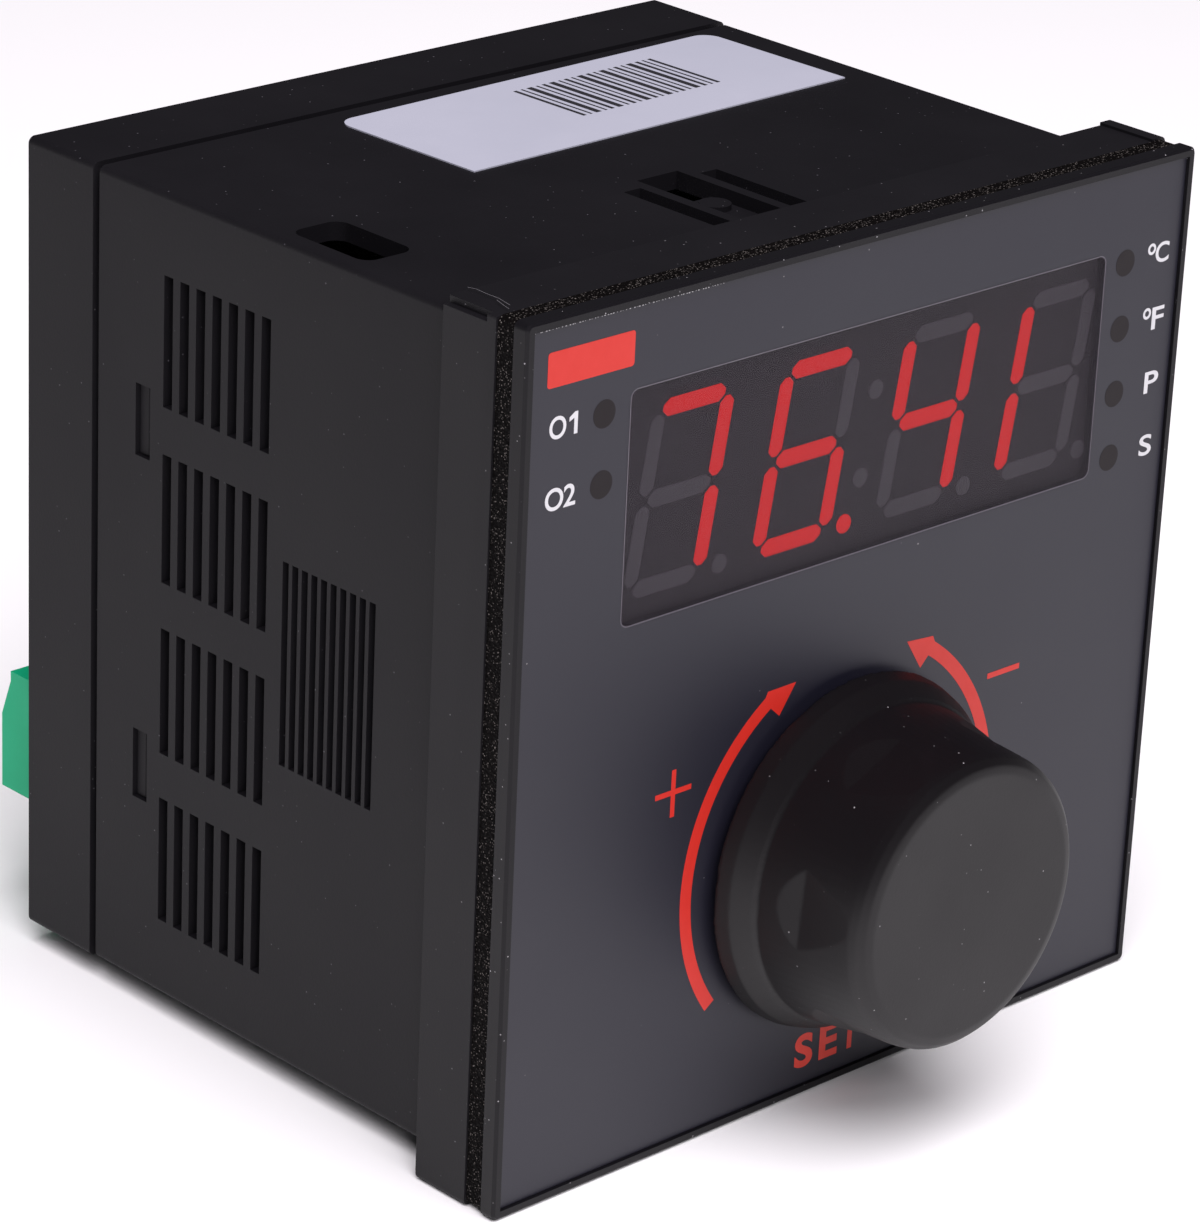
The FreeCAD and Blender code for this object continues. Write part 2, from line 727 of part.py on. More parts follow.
def rear_cap():
    """Shallow cap with a lip inside the case, snap hooks in the catch windows and the plug openings."""
    half = half_case + cap_proud
    body = square(half, cap_start, cap_end, case_corner)
    rear_edges = [e for e in body.Edges if e.BoundBox.YMin > cap_end - 1e-6]
    body = body.makeChamfer(0.4, rear_edges)
    lip_half = inner_case - cap_lip_clear
    lip = square(lip_half, case_end - cap_lip, cap_start)
    seat = square(half_case - seam_inset, case_end, cap_start)
    body = body.fuse([lip, seat])
    body = body.cut(square(lip_half - cap_lip_wall, case_end - cap_lip - 1, cap_end - cap_wall))
    body = body.fuse(both_sides(cap_hooks))
    body = body.cut(both_sides(header_opening))
    return body.removeSplitter()


def header_opening():
    """Cutter of the cap's right-hand opening, round the header."""
    margin = header_wall + header_clear + header_opening_clear
    return block((plug_inner_x - margin, plug_outer_x + margin), (cap_end - cap_wall - 1, cap_end + 1),
                 (nose_low_z - margin, nose_high_z + margin))


def cap_hooks():
    """Left pair of snap arms: each runs forward from the lip and carries a wedge in its window."""
    y = case_end - catch_inset
    arms = []
    tall = catch_height - 2 * catch_clear
    front = y - catch_width / 2 + catch_clear
    back = y + catch_width / 2 - catch_clear
    outer = -inner_case + cap_lip_clear
    tip = -half_case + hook_recess
    lead = 0.7                                  # sloping front of the wedge
    for z in spread(2, catch_pitch):
        arm = block((outer, outer + cap_lip_wall), (front - lead, case_end - cap_lip + 1), centred(z, tall))
        low = z - tall / 2
        section = [(outer, front), (tip + lead, front), (tip, front + lead), (tip, back), (outer, back)]
        wedge = prism([Vector(a, b, low) for a, b in section], Vector(0, 0, tall))
        arms.append(arm.fuse(wedge))
    return Part.makeCompound(arms)


# ---------------------------------------------------------------- gasket and collar
def panel_gasket():
    """Square foam frame that seals the bezel flange to the panel."""
    ring = square(half_face - gasket_inset, seal_y, 0, bezel_corner)
    return ring.cut(square(half_case + gasket_clear, seal_y - 1, 1))


def mounting_collar():
    """Frame that slides up the case from behind and clamps the panel against the gasket."""
    ring = square(half_face, 0, collar_depth, collar_round)
    top = half_face - collar_relief
    relief = block((-half_face - 1, half_face - collar_strip), (-1, collar_depth + 1), (top, half_face + 1))
    rebate = block((-half_face - 1, -half_face + collar_rebate), (collar_rebate_front, collar_depth + 1),
                   (top - collar_rebate, half_face + 1))
    ring = ring.cut([relief, turned_over(relief), rebate, turned_over(rebate)])
    return ring.cut(square(half_case + collar_clear, -1, collar_depth + 1)).removeSplitter()


# ---------------------------------------------------------------- main board and what stands on it
def main_board():
    """Level circuit board, held by the rails of the case."""
    back = cap_end - cap_wall - main_board_back_gap
    return block(centred(0, main_board_width), (main_board_front, back),
                 (main_board_z - board_thick, main_board_z))


def on_board(x, y, z):
    """A box that stands on the main board: z is its height above the board."""
    return block(x, y, (main_board_z + z[0], main_board_z + z[1]))


def output_relays():
    """Sealed relays side by side, each raised on its pins."""
    relays = []
    for i in range(relay_count):
        x = relays_x + relay_width / 2 + i * (relay_width + relay_gap)
        relay = on_board(centred(x, relay_width), (relay_y, relay_y + relay_length),
                         (relay_raise, relay_height))
        last = relay_length - relay_pin_edge
        pins = [on_board(centred(x, relay_pin), centred(relay_y + along, relay_pin), (0, relay_raise))
                for along in (relay_pin_edge, last - relay_pin_pitch, last)]
        relays.append(relay.fuse(pins))
    return Part.makeCompound(relays)


def transformer_core():
    """Two E cores pressed together: a closed frame with a middle leg."""
    y = centred(core_y, core_depth)
    frame = on_board(centred(core_x, core_width), y, (bobbin_flange, bobbin_flange + core_height))
    room = core_width / 2 - core_leg * 1.5      # each window between the legs
    for side in (-1, 1):
        x = core_x + side * (core_leg / 2 + room / 2)
        frame = frame.cut(on_board(centred(x, room), (y[0] - 1, y[1] + 1),
                                   (bobbin_flange + core_leg, bobbin_flange + core_height - core_leg)))
    return frame


def transformer_winding():
    """Bobbin with its flanges and winding, round the middle leg of the core."""
    room = core_width / 2 - core_leg * 1.5
    low = bobbin_flange + core_leg + 0.2
    high = bobbin_flange + core_height - core_leg - 0.2
    wide = core_leg + 2 * room - 0.4
    body = on_board(centred(core_x, wide - 1.0), centred(core_y, bobbin_depth - 1.0), (low, high))
    for z in ((low, low + bobbin_flange), (high - bobbin_flange, high)):
        body = body.fuse(on_board(centred(core_x, wide), centred(core_y, bobbin_depth), z))
    for y in spread(2, bobbin_depth - 2.4, core_y):
        body = body.fuse(on_board(centred(core_x, wide), centred(y, 2.0), (0, low)))
    leg = on_board(centred(core_x, core_leg + 0.3), centred(core_y, core_depth + 0.3), (low - 1, high + 1))
    return body.cut(leg).removeSplitter()


def filter_capacitors():
    """Two cans standing in a row beside the transformer."""
    x = core_x + core_width / 2 + capacitor_dia / 2 + capacitor_beside
    top = main_board_z + capacitor_height
    return Part.makeCompound([post(x, y, capacitor_dia / 2, main_board_z, top)
                              for y in spread(2, capacitor_dia + capacitor_gap, core_y)])


def board_link():
    """Angled pin strip that joins the front board to the main board."""
    y0 = board_y + board_thick
    strip = on_board(centred(0, link_length), (y0, y0 + link_width), (0, link_height))
    row = centred(0, link_length - 2 * link_pin_inset)
    pins = on_board(row, (y0 + link_width, main_board_front + link_pin_reach), (0, link_pin_thick))
    return strip.fuse(pins).removeSplitter()


def controller_chip():
    """Square flat chip with leads on its four sides, on the rear of the front board."""
    y0 = board_y + board_thick
    over_leads = chip_size + 2 * chip_lead_out
    row = chip_size - 2 * chip_lead_corner
    lead_y = (y0, y0 + chip_lead_thick)
    chip = block(centred(chip_x, chip_size), (y0, y0 + chip_thick), centred(chip_z, chip_size))
    sides = block(centred(chip_x, over_leads), lead_y, centred(chip_z, row))
    ends = block(centred(chip_x, row), lead_y, centred(chip_z, over_leads))
    return chip.fuse([sides, ends]).removeSplitter()


# ---------------------------------------------------------------- plug-in terminals
# The right-hand set is modelled; the left-hand one is the same set moved across.


def header():
    """Socket soldered to the main board: a shroud open to the rear, standing on two legs."""
    x = (plug_inner_x - header_wall, plug_outer_x + header_wall)
    front = header_front
    z = (nose_low_z - header_clear - header_wall, nose_high_z + header_clear + header_wall)
    shell = block(x, (front, cap_end), z)
    room = block((plug_inner_x + plug_nose_drop - header_clear, plug_outer_x - plug_nose_drop + header_clear),
                 (front + header_wall, cap_end + 1),
                 (nose_low_z - header_clear, nose_high_z + header_clear))
    shell = shell.cut(room)
    shell = shell.fuse(block(x, (front, front + header_foot), (main_board_z, z[0])))
    for x0 in pole_x:
        shell = shell.cut(square_rod(x0, pin_z, pin_size, front - 1, front + header_wall + 1))
    return shell.removeSplitter()


def header_pins():
    """Right-angled pins: each stands on the board, turns and runs through the header's floor."""
    start = header_front - pin_size * 1.5
    pins = []
    for x in pole_x:
        pin = square_rod(x, pin_z, pin_size, start, header_front + header_wall + pin_length)
        leg = block(centred(x, pin_size), (start, start + pin_size), (main_board_z, pin_z))
        pins.append(pin.fuse(leg).removeSplitter())
    return Part.makeCompound(pins)



def plug():
    """Pluggable screw terminal: nose with contact slots, block with wire ports and screw holes."""
    top = plug_top_z
    outline = [(plug_block_front, plug_low_z), (plug_back, plug_low_z), (plug_back, top - plug_bevel_low),
               (plug_back - plug_bevel_back, top - 1.2), (plug_back - plug_bevel_back, top),
               (plug_block_front, top)]
    body = prism([Vector(plug_inner_x, y, z) for y, z in outline], Vector(plug_length, 0, 0))
    nose = block((plug_inner_x + plug_nose_drop, plug_outer_x - plug_nose_drop),
                 (plug_nose_front, plug_block_front + 0.1), (nose_low_z, nose_high_z))
    body = body.fuse(nose)
    port_z = (clamp_low_z + clamp_wall, clamp_low_z + clamp_wall + wire_port_height)
    chamber_y = centred(screw_y, clamp_length + 2 * clamp_clear)
    cuts = []
    for x in pole_x:
        width = centred(x, wire_port_width)
        cuts.append(square_rod(x, pin_z, pin_size + 2 * pin_clear, plug_nose_front - 1, contact_end))
        cuts.append(block(width, (plug_back - wire_port_depth, plug_back + 1), port_z))
        cuts.append(block(width, chamber_y, (clamp_low_z, clamp_top_z)))
        cuts.append(post(x, screw_y, screw_hole_dia / 2, clamp_top_z - 1, top + 1))
    return body.cut(cuts)


def plug_clamps():
    """Rising clamp cages: a square sleeve round each wire port, under its screw."""
    cages = []
    width = wire_port_width - 2 * clamp_clear
    low = clamp_low_z + clamp_clear
    for x in pole_x:
        cage = block(centred(x, width), centred(screw_y, clamp_length), (low, clamp_top_z - clamp_clear))
        room = block(centred(x, width - 2 * clamp_wall), centred(screw_y, clamp_length + 2),
                     (low + clamp_wall, low + wire_port_height))
        cages.append(cage.cut(room))
    return Part.makeCompound(cages)


def left_handed(shape):
    """The left-hand plug is the right-hand one moved across, so that both face the same way."""
    copy = shape.copy()
    copy.translate(Vector(-plug_outer_x - plug_inner_x, 0, 0))
    return copy


# ---------------------------------------------------------------- rating label
def rating_label():
    """Blank label near the rear of the top, its rear corners rounded."""
    y1 = case_end - label_seam_gap
    label = block(centred(label_x, label_width), (y1 - label_depth, y1),
                  (half_case, half_case + label_thick))
    rear = [e for e in label.Edges if e.BoundBox.ZLength > label_thick / 2 and e.BoundBox.YMin > y1 - 1]
    label = label.makeFillet(label_corner, rear)
    label.rotate(Vector(label_x, y1 - label_depth / 2, 0), Vector(0, 0, 1), label_turn)
    return label


# ---------------------------------------------------------------- all the pieces
parts["front_bezel"] = front_bezel()
parts["front_overlay"] = front_overlay()
parts["display_window"] = window_block(lens_clear, overlay_y, overlay_y + lens_thick)
parts["display_module"] = display_module()
parts["display_segments"] = display_segments()
parts["light_pipes"] = light_pipes()
parts["indicator_diodes"] = indicator_diodes()
parts["front_board"] = front_board()
parts["controller_chip"] = controller_chip()
parts["board_link"] = board_link()

front_gap, plunger_rear, dome_front = encoder_places()
parts["encoder_body"] = encoder_body()
parts["encoder_bushing"] = encoder_bushing()
parts["encoder_washer"] = encoder_washer()
parts["encoder_nut"] = encoder_nut()
parts["encoder_shaft"] = encoder_shaft()
parts["switch_plunger"] = disc(0, knob_z, plunger_dia / 2, front_gap, plunger_rear)
parts["switch_dome"] = disc(0, knob_z, dome_dia / 2, dome_front, dome_front + dome_thick)
parts["control_knob"] = control_knob()

parts["panel_gasket"] = panel_gasket()
parts["mounting_collar"] = mounting_collar()
parts["main_case"] = main_case()
parts["rear_cap"] = rear_cap()
parts["rating_label"] = rating_label()

parts["main_board"] = main_board()
parts["output_relays"] = output_relays()
parts["transformer_core"] = transformer_core()
parts["transformer_winding"] = transformer_winding()
parts["filter_capacitors"] = filter_capacitors()

terminal_makers = {"terminal_header": header, "header_pins": header_pins, "terminal_plug": plug,
                   "plug_clamps": plug_clamps}
for name, make in terminal_makers.items():
    right = make()
    parts[name + "_right"] = right
    parts[name + "_left"] = left_handed(right)

os.makedirs("parts", exist_ok=True)
for name, shape in parts.items():
    shape.exportStep("parts/" + name + ".step")
    print(name, len(shape.Solids), round(shape.Volume, 1), shape.isValid())
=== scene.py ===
"""Looks of a panel-mount temperature controller: moulded black case, printed front, red display and knob."""

import json
import math

import bpy
from mathutils import Matrix, Vector

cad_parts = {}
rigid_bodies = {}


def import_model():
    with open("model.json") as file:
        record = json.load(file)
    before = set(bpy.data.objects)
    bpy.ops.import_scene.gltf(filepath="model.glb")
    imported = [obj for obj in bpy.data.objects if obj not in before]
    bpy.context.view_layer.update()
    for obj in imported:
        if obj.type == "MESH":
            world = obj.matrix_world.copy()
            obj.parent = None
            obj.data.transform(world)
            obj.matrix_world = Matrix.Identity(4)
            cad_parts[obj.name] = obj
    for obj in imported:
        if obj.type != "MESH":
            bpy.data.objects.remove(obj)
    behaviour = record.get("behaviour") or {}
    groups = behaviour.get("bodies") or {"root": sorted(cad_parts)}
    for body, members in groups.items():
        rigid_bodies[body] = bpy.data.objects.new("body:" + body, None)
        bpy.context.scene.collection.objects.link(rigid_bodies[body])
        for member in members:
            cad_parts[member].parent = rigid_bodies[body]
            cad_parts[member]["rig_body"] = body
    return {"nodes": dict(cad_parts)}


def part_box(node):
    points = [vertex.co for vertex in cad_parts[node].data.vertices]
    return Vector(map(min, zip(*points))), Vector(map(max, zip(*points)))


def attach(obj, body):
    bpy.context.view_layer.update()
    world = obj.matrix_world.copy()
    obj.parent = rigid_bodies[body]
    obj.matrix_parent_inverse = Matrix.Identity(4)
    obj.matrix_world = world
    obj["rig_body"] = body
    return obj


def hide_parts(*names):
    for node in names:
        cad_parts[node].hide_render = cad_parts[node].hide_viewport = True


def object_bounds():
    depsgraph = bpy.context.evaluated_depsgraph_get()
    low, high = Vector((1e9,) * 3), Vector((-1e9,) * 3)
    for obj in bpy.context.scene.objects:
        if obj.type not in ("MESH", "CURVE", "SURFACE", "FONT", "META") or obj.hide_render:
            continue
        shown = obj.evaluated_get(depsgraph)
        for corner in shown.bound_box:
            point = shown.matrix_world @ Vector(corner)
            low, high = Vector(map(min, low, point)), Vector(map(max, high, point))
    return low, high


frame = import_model()
cad_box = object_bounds()
MM = 0.001


# ---------------------------------------------------------------------------------------------------
# View. A long lens from the front left, a little above: the front, the left side and the top all show.
view_point = Vector((-359.3, -336.3, 208.4)) * MM
view_turn = math.radians(-44.173)       # about the vertical, from straight ahead
view_tilt = math.radians(67.416)        # from straight down
view_roll = math.radians(2.634)

view_lens = bpy.data.cameras.new("view")
view_lens.lens = 150.69
view_lens.sensor_width = 36
view_lens.clip_start = 0.05
camera = bpy.data.objects.new("view", view_lens)
camera.matrix_world = (Matrix.Translation(view_point) @ Matrix.Rotation(view_turn, 4, "Z")
                       @ Matrix.Rotation(view_tilt, 4, "X") @ Matrix.Rotation(view_roll, 4, "Z"))
bpy.context.scene.collection.objects.link(camera)
bpy.context.scene.camera = camera
bpy.context.scene.view_settings.view_transform = "Standard"


# ---------------------------------------------------------------------------------------------------
# Studio. A sheet of matt white paper under the object, a broad soft box above the front left that lights
# the paper, and a small key soft box lower on that side. The room is dim, so black plastic keeps its depth.
def linear(hex_colour):
    """An sRGB hex colour as linear RGBA."""
    values = [int(hex_colour[i:i + 2], 16) / 255 for i in (1, 3, 5)]
    return tuple(v / 12.92 if v <= 0.04045 else ((v + 0.055) / 1.055) ** 2.4 for v in values) + (1.0,)


def add_node(material, kind, inputs=None, **settings):
    """Adds a node. Settings are its properties; inputs gives its sockets values or other nodes' sockets."""
    node = material.node_tree.nodes.new(kind)
    for name, value in settings.items():
        setattr(node, name, value)
    for socket, value in (inputs or {}).items():
        if isinstance(value, bpy.types.NodeSocket):
            material.node_tree.links.new(value, node.inputs[socket])
        else:
            node.inputs[socket].default_value = value
    return node


def new_material(name):
    """An empty material with its output node."""
    material = bpy.data.materials.new(name)
    material.use_nodes = True
    material.node_tree.nodes.clear()
    return material, add_node(material, "ShaderNodeOutputMaterial")


# matt white paper: a pale, even ground that takes a soft shadow, with a barely visible fibre
paper, paper_output = new_material("matt_white_paper")
paper_grain = add_node(paper, "ShaderNodeTexNoise", {"Scale": 900.0, "Detail": 2.0})
paper_bump = add_node(paper, "ShaderNodeBump", {"Strength": 0.05, "Distance": 0.1 * MM,
                                                "Height": paper_grain.outputs["Fac"]})
paper_shader = add_node(paper, "ShaderNodeBsdfPrincipled", {
    "Base Color": linear("#F4F4F5"), "Roughness": 0.9, "Normal": paper_bump.outputs["Normal"]})
paper.node_tree.links.new(paper_shader.outputs[0], paper_output.inputs["Surface"])

bpy.ops.object.select_all(action="DESELECT")
bpy.ops.mesh.primitive_circle_add(vertices=96, radius=2.2, fill_type="NGON",
                                  location=(0, 0.03, cad_box[0][2] - 0.05 * MM))
floor = bpy.context.object
floor.name = "paper_sheet"
floor.data.materials.append(paper)


def soft_box(name, place, aim, side, watts):
    """A square area light that faces a point. Its own image isn't mirrored in glossy surfaces."""
    light = bpy.data.lights.new(name, "AREA")
    light.shape = "RECTANGLE"
    light.size = side
    light.size_y = side
    light.energy = watts
    light.color = (1.0, 0.955, 0.99)
    box = bpy.data.objects.new(name, light)
    box.location = place
    box.rotation_euler = (Vector(aim) - Vector(place)).to_track_quat("-Z", "Y").to_euler()
    box.visible_glossy = False
    bpy.context.scene.collection.objects.link(box)


soft_box("overhead_box", (-0.2, -0.4, 1.3), (0.05, 0.05, 0), 1.4, 36.0)
soft_box("key_box", (-0.75, -1.2, 0.8), (0, 0, 0), 0.5, 9.0)

room = bpy.data.worlds.new("dim_room")
room.use_nodes = True
room.node_tree.nodes["Background"].inputs["Color"].default_value = linear("#E4E4EA")
room.node_tree.nodes["Background"].inputs["Strength"].default_value = 0.07
bpy.context.scene.world = room


# ---------------------------------------------------------------------------------------------------
# Case and rear cap: two mouldings of glass-filled black plastic out of spark-eroded tools. The cap's
# hooks snap into the case's side windows. Fine pebble, soft edges painted a little paler as a painted
# highlight, a few pale specks of dust.
def select_only(piece):
    """Makes one object the selected and the active one."""
    bpy.ops.object.select_all(action="DESELECT")
    piece.select_set(True)
    bpy.context.view_layer.objects.active = piece


def joined_copy(node, name):
    """A copy of a CAD node's mesh with its corners joined up, left in edit mode with all of it selected."""
    piece = bpy.data.objects.new(name, frame["nodes"][node].data.copy())
    bpy.context.scene.collection.objects.link(piece)
    select_only(piece)
    bpy.ops.object.mode_set(mode="EDIT")
    bpy.ops.mesh.select_all(action="SELECT")
    bpy.ops.mesh.customdata_custom_splitnormals_clear()
    bpy.ops.mesh.remove_doubles(threshold=2e-6)
    return piece


def softened(node, edge_mm):
    """The moulding of a CAD node with the small rounds of its tool on each sharp edge, shown in its place.
    The rounds take the second material."""
    piece = joined_copy(node, node + "_moulding")
    bpy.ops.mesh.dissolve_limited(angle_limit=math.radians(0.4))
    bpy.ops.mesh.faces_shade_smooth()
    bpy.ops.object.mode_set(mode="OBJECT")
    rounds = piece.modifiers.new("edge_rounds", "BEVEL")
    rounds.width = edge_mm * MM
    rounds.segments = 2
    rounds.limit_method = "ANGLE"
    rounds.angle_limit = math.radians(32)
    rounds.harden_normals = True
    rounds.material = 1
    bpy.ops.object.modifier_apply(modifier=rounds.name)
    piece.data.materials.clear()
    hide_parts(node)
    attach(piece, frame["nodes"][node]["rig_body"])
    return piece


def finish(name, colours, roughness, grain_mm, grain_depth_mm, cloud_mm=22.0, **shader_values):
    """A material of two slowly mixed colours with uneven gloss and a fine grain.
    Returns it with its shader, its place on the object and its colour, for more detail on top."""
    material, output = new_material(name)
    place = add_node(material, "ShaderNodeTexCoord").outputs["Object"]
    cloud = add_node(material, "ShaderNodeTexNoise", {
        "Vector": place, "Scale": 1 / (cloud_mm * MM), "Detail": 7.0, "Roughness": 0.6})
    grain = add_node(material, "ShaderNodeTexNoise", {
        "Vector": place, "Scale": 1 / (grain_mm * MM), "Detail": 3.0, "Roughness": 0.6})
    colour = add_node(material, "ShaderNodeMix", {
        0: cloud.outputs["Fac"], 6: linear(colours[0]), 7: linear(colours[1])}, data_type="RGBA")
    gloss = add_node(material, "ShaderNodeMapRange", {
        "Value": cloud.outputs["Fac"], "From Min": 0.3, "From Max": 0.7,
        "To Min": max(roughness - 0.03, 0.02), "To Max": roughness + 0.03})
    bump = add_node(material, "ShaderNodeBump", {
        "Strength": 0.6, "Distance": grain_depth_mm * MM, "Height": grain.outputs["Fac"]})
    shader = add_node(material, "ShaderNodeBsdfPrincipled", {
        "Base Color": colour.outputs[2], "Roughness": gloss.outputs["Result"],
        "Normal": bump.outputs["Normal"]})
    for socket, value in shader_values.items():
        shader.inputs[socket.replace("_", " ")].default_value = value
    material.node_tree.links.new(shader.outputs[0], output.inputs["Surface"])
    return material, shader, place, colour.outputs[2]


def dust_and_glint_specks(material, shader, place, colour, spacing_mm, size_mm, share, tone):
    """Pale specks, one at most in each cell, over a share of the cells; most of them faint: dust, and on the
    gasket painted glints.
    """
    cell = add_node(material, "ShaderNodeTexVoronoi", {"Vector": place, "Scale": 1 / (spacing_mm * MM)})
    near = add_node(material, "ShaderNodeMath", {0: cell.outputs["Distance"], 1: size_mm / spacing_mm / 2},
                    operation="LESS_THAN")
    draw = add_node(material, "ShaderNodeTexWhiteNoise", {"Vector": cell.outputs["Position"]})
    strong = add_node(material, "ShaderNodeMapRange", {
        "Value": draw.outputs["Value"], "From Min": 0.0, "From Max": share, "To Min": 1.0, "To Max": 0.0})
    uneven = add_node(material, "ShaderNodeMath", {0: strong.outputs["Result"], 1: 2.0}, operation="POWER")
    speck = add_node(material, "ShaderNodeMath", {0: near.outputs[0], 1: uneven.outputs[0]},
                     operation="MULTIPLY")
    mixed = add_node(material, "ShaderNodeMix", {0: speck.outputs[0], 6: colour, 7: linear(tone)},
                     data_type="RGBA")
    material.node_tree.links.new(mixed.outputs[2], shader.inputs["Base Color"])


# glass-filled polyamide, spark-eroded: nearly black, a soft wide sheen, a pebble of 0.3 mm
case_plastic, case_shader, case_place, case_colour = finish(
    "spark_eroded_black_polyamide", ("#0F0E11", "#1A191C"), 0.6, 0.3, 0.03,
    IOR=1.5, Specular_IOR_Level=0.24)
dust_and_glint_specks(case_plastic, case_shader, case_place, case_colour, 0.95, 0.17, 0.3, "#5C5A60")
# the same plastic rubbed by handling: a little shinier along every edge, and painted a little paler there as
# a painted highlight
case_edge, *_ = finish("rubbed_and_painted_highlight_edge_of_black_polyamide", ("#1C1B1D", "#121113"), 0.45, 0.5, 0.02,
                       cloud_mm=4.0, IOR=1.5, Specular_IOR_Level=0.35)
for case_node in ("main_case", "rear_cap"):
    case_moulding = softened(case_node, 0.12)
    case_moulding.data.materials.append(case_plastic)
    case_moulding.data.materials.append(case_edge)


# ---------------------------------------------------------------------------------------------------
# Mounting collar: a frame of the same plastic that slides up the case from behind. Its edges are worn
# by the panel and the hand, and painted paler as a painted highlight. Near the left corner the top carries
# two pale strokes of painted highlight.
# the case's plastic again: nearly black, a touch glossier than the case
collar_plastic, collar_shader, collar_place, collar_colour = finish(
    "black_polyamide_collar", ("#100F12", "#1B1A1D"), 0.58, 0.3, 0.025, IOR=1.5, Specular_IOR_Level=0.27)
dust_and_glint_specks(collar_plastic, collar_shader, collar_place, collar_colour, 0.9, 0.17, 0.3, "#6C6A6E")
collar = softened("mounting_collar", 0.16)
collar.data.materials.append(collar_plastic)
# plastic scraped to a patchy grey, and painted pale as a painted highlight: the edge shows as a broken pale
# line
collar_edge, *_ = finish("scraped_and_painted_highlight_edge_of_collar", ("#6E6C70", "#151417"), 0.5, 0.5, 0.02, cloud_mm=1.6,
                         IOR=1.5, Specular_IOR_Level=0.35)
collar.data.materials.append(collar_edge)


# ---------------------------------------------------------------------------------------------------
# Panel gasket: a square frame of black sponge rubber, cut from sheet, stuck behind the bezel flange.
# Its cut cells catch the light as tiny sparkles, painted as pale specks on a dull, torn black.
# sponge rubber: hardly any sheen, a torn surface of 0.4 mm cells, dense tiny painted glints
gasket_foam, gasket_shader, gasket_place, gasket_colour = finish(
    "cut_black_sponge_rubber", ("#070606", "#0D0B0B"), 0.95, 0.5, 0.25, Specular_IOR_Level=0.12)
gasket_cells = add_node(gasket_foam, "ShaderNodeTexVoronoi", {
    "Vector": gasket_place, "Scale": 1 / (0.42 * MM)})
gasket_bump = add_node(gasket_foam, "ShaderNodeBump", {
    "Strength": 1.0, "Distance": 0.25 * MM, "Height": gasket_cells.outputs["Distance"]})
gasket_foam.node_tree.links.new(gasket_bump.outputs["Normal"], gasket_shader.inputs["Normal"])
# painted glints: pale specks for the cut cells that catch the light
dust_and_glint_specks(gasket_foam, gasket_shader, gasket_place, gasket_colour, 0.22, 0.15, 0.85, "#6A6562")


def dress(node, material):
    """Gives a CAD node that is shown as it is its material."""
    frame["nodes"][node].data.materials.clear()
    frame["nodes"][node].data.materials.append(material)


dress("panel_gasket", gasket_foam)


# ---------------------------------------------------------------------------------------------------
# Front bezel: one moulding of fine-grained black plastic, a thin raised rim round the film, and behind
# the panel the ring that enters the case. The rim is polished along its edges by handling, and painted a
# little paler there as a painted highlight.
# satin black plastic: smoother than the case, with small bright specks of dust
bezel_plastic, bezel_shader, bezel_place, bezel_colour = finish(
    "satin_black_moulded_bezel", ("#0F0E11", "#141316"), 0.48, 0.18, 0.015, IOR=1.5,
    Specular_IOR_Level=0.25)
dust_and_glint_specks(bezel_plastic, bezel_shader, bezel_place, bezel_colour, 0.7, 0.16, 0.4, "#A09EA2")
# the same plastic polished by fingers along its edges, and painted slightly brighter there: a thin painted
# highlight line round the front
bezel_edge, *_ = finish("handled_and_painted_highlight_rim_of_bezel", ("#222124", "#161517"), 0.38, 0.4, 0.01, cloud_mm=3.0,
                        IOR=1.5, Specular_IOR_Level=0.36)
bezel = softened("front_bezel", 0.1)
bezel.data.materials.append(bezel_plastic)
bezel.data.materials.append(bezel_edge)


# ---------------------------------------------------------------------------------------------------
# Front overlay: polyester film, reverse printed in dark blue-grey, with a velvet face that spreads
# light. Glued inside the rim. Lint and dust lie on it.
# velvet polyester: an even blue-grey with no clear reflections, and sparse pale lint
film, film_shader, film_place, film_colour = finish(
    "velvet_polyester_film_blue_grey", ("#191923", "#1C1B27"), 0.5, 0.12, 0.006, cloud_mm=60.0, IOR=1.55)
dust_and_glint_specks(film, film_shader, film_place, film_colour, 1.6, 0.17, 0.16, "#C4C2C0")
dress("front_overlay", film)
print_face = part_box("front_overlay")[0].y


# ---------------------------------------------------------------------------------------------------
# Printing on the film: white lamp names, red arrows, signs and word round the knob, a bare red plate,
# and a smoked clear spot over each lamp. Opaque screen inks, a hundredth of a millimetre thick.
def ink(name, colours):
    """Screen ink: flat, slightly uneven cover with a fine mesh grain and the film's soft sheen."""
    material, *_ = finish(name, colours, 0.5, 0.15, 0.004, cloud_mm=1.5, IOR=1.5)
    return material


ink_thick_mm = 0.01
ink_lift_mm = 0.012         # middle of the ink in front of the film


def printed(name, outlines, material):
    """Closed outlines of (x, z) points in mm, filled and laid flat on the film as one thin layer of ink."""
    drawing = bpy.data.curves.new(name, "CURVE")
    drawing.dimensions = "2D"
    drawing.fill_mode = "BOTH"
    drawing.extrude = ink_thick_mm / 2 * MM
    for outline in outlines:
        line = drawing.splines.new("POLY")
        line.points.add(len(outline) - 1)
        for point, (x, z) in zip(line.points, outline):
            point.co = (x * MM, z * MM, 0, 1)
        line.use_cyclic_u = True
    layer = bpy.data.objects.new(name, drawing)
    bpy.context.scene.collection.objects.link(layer)
    laid_on_front(layer, material)


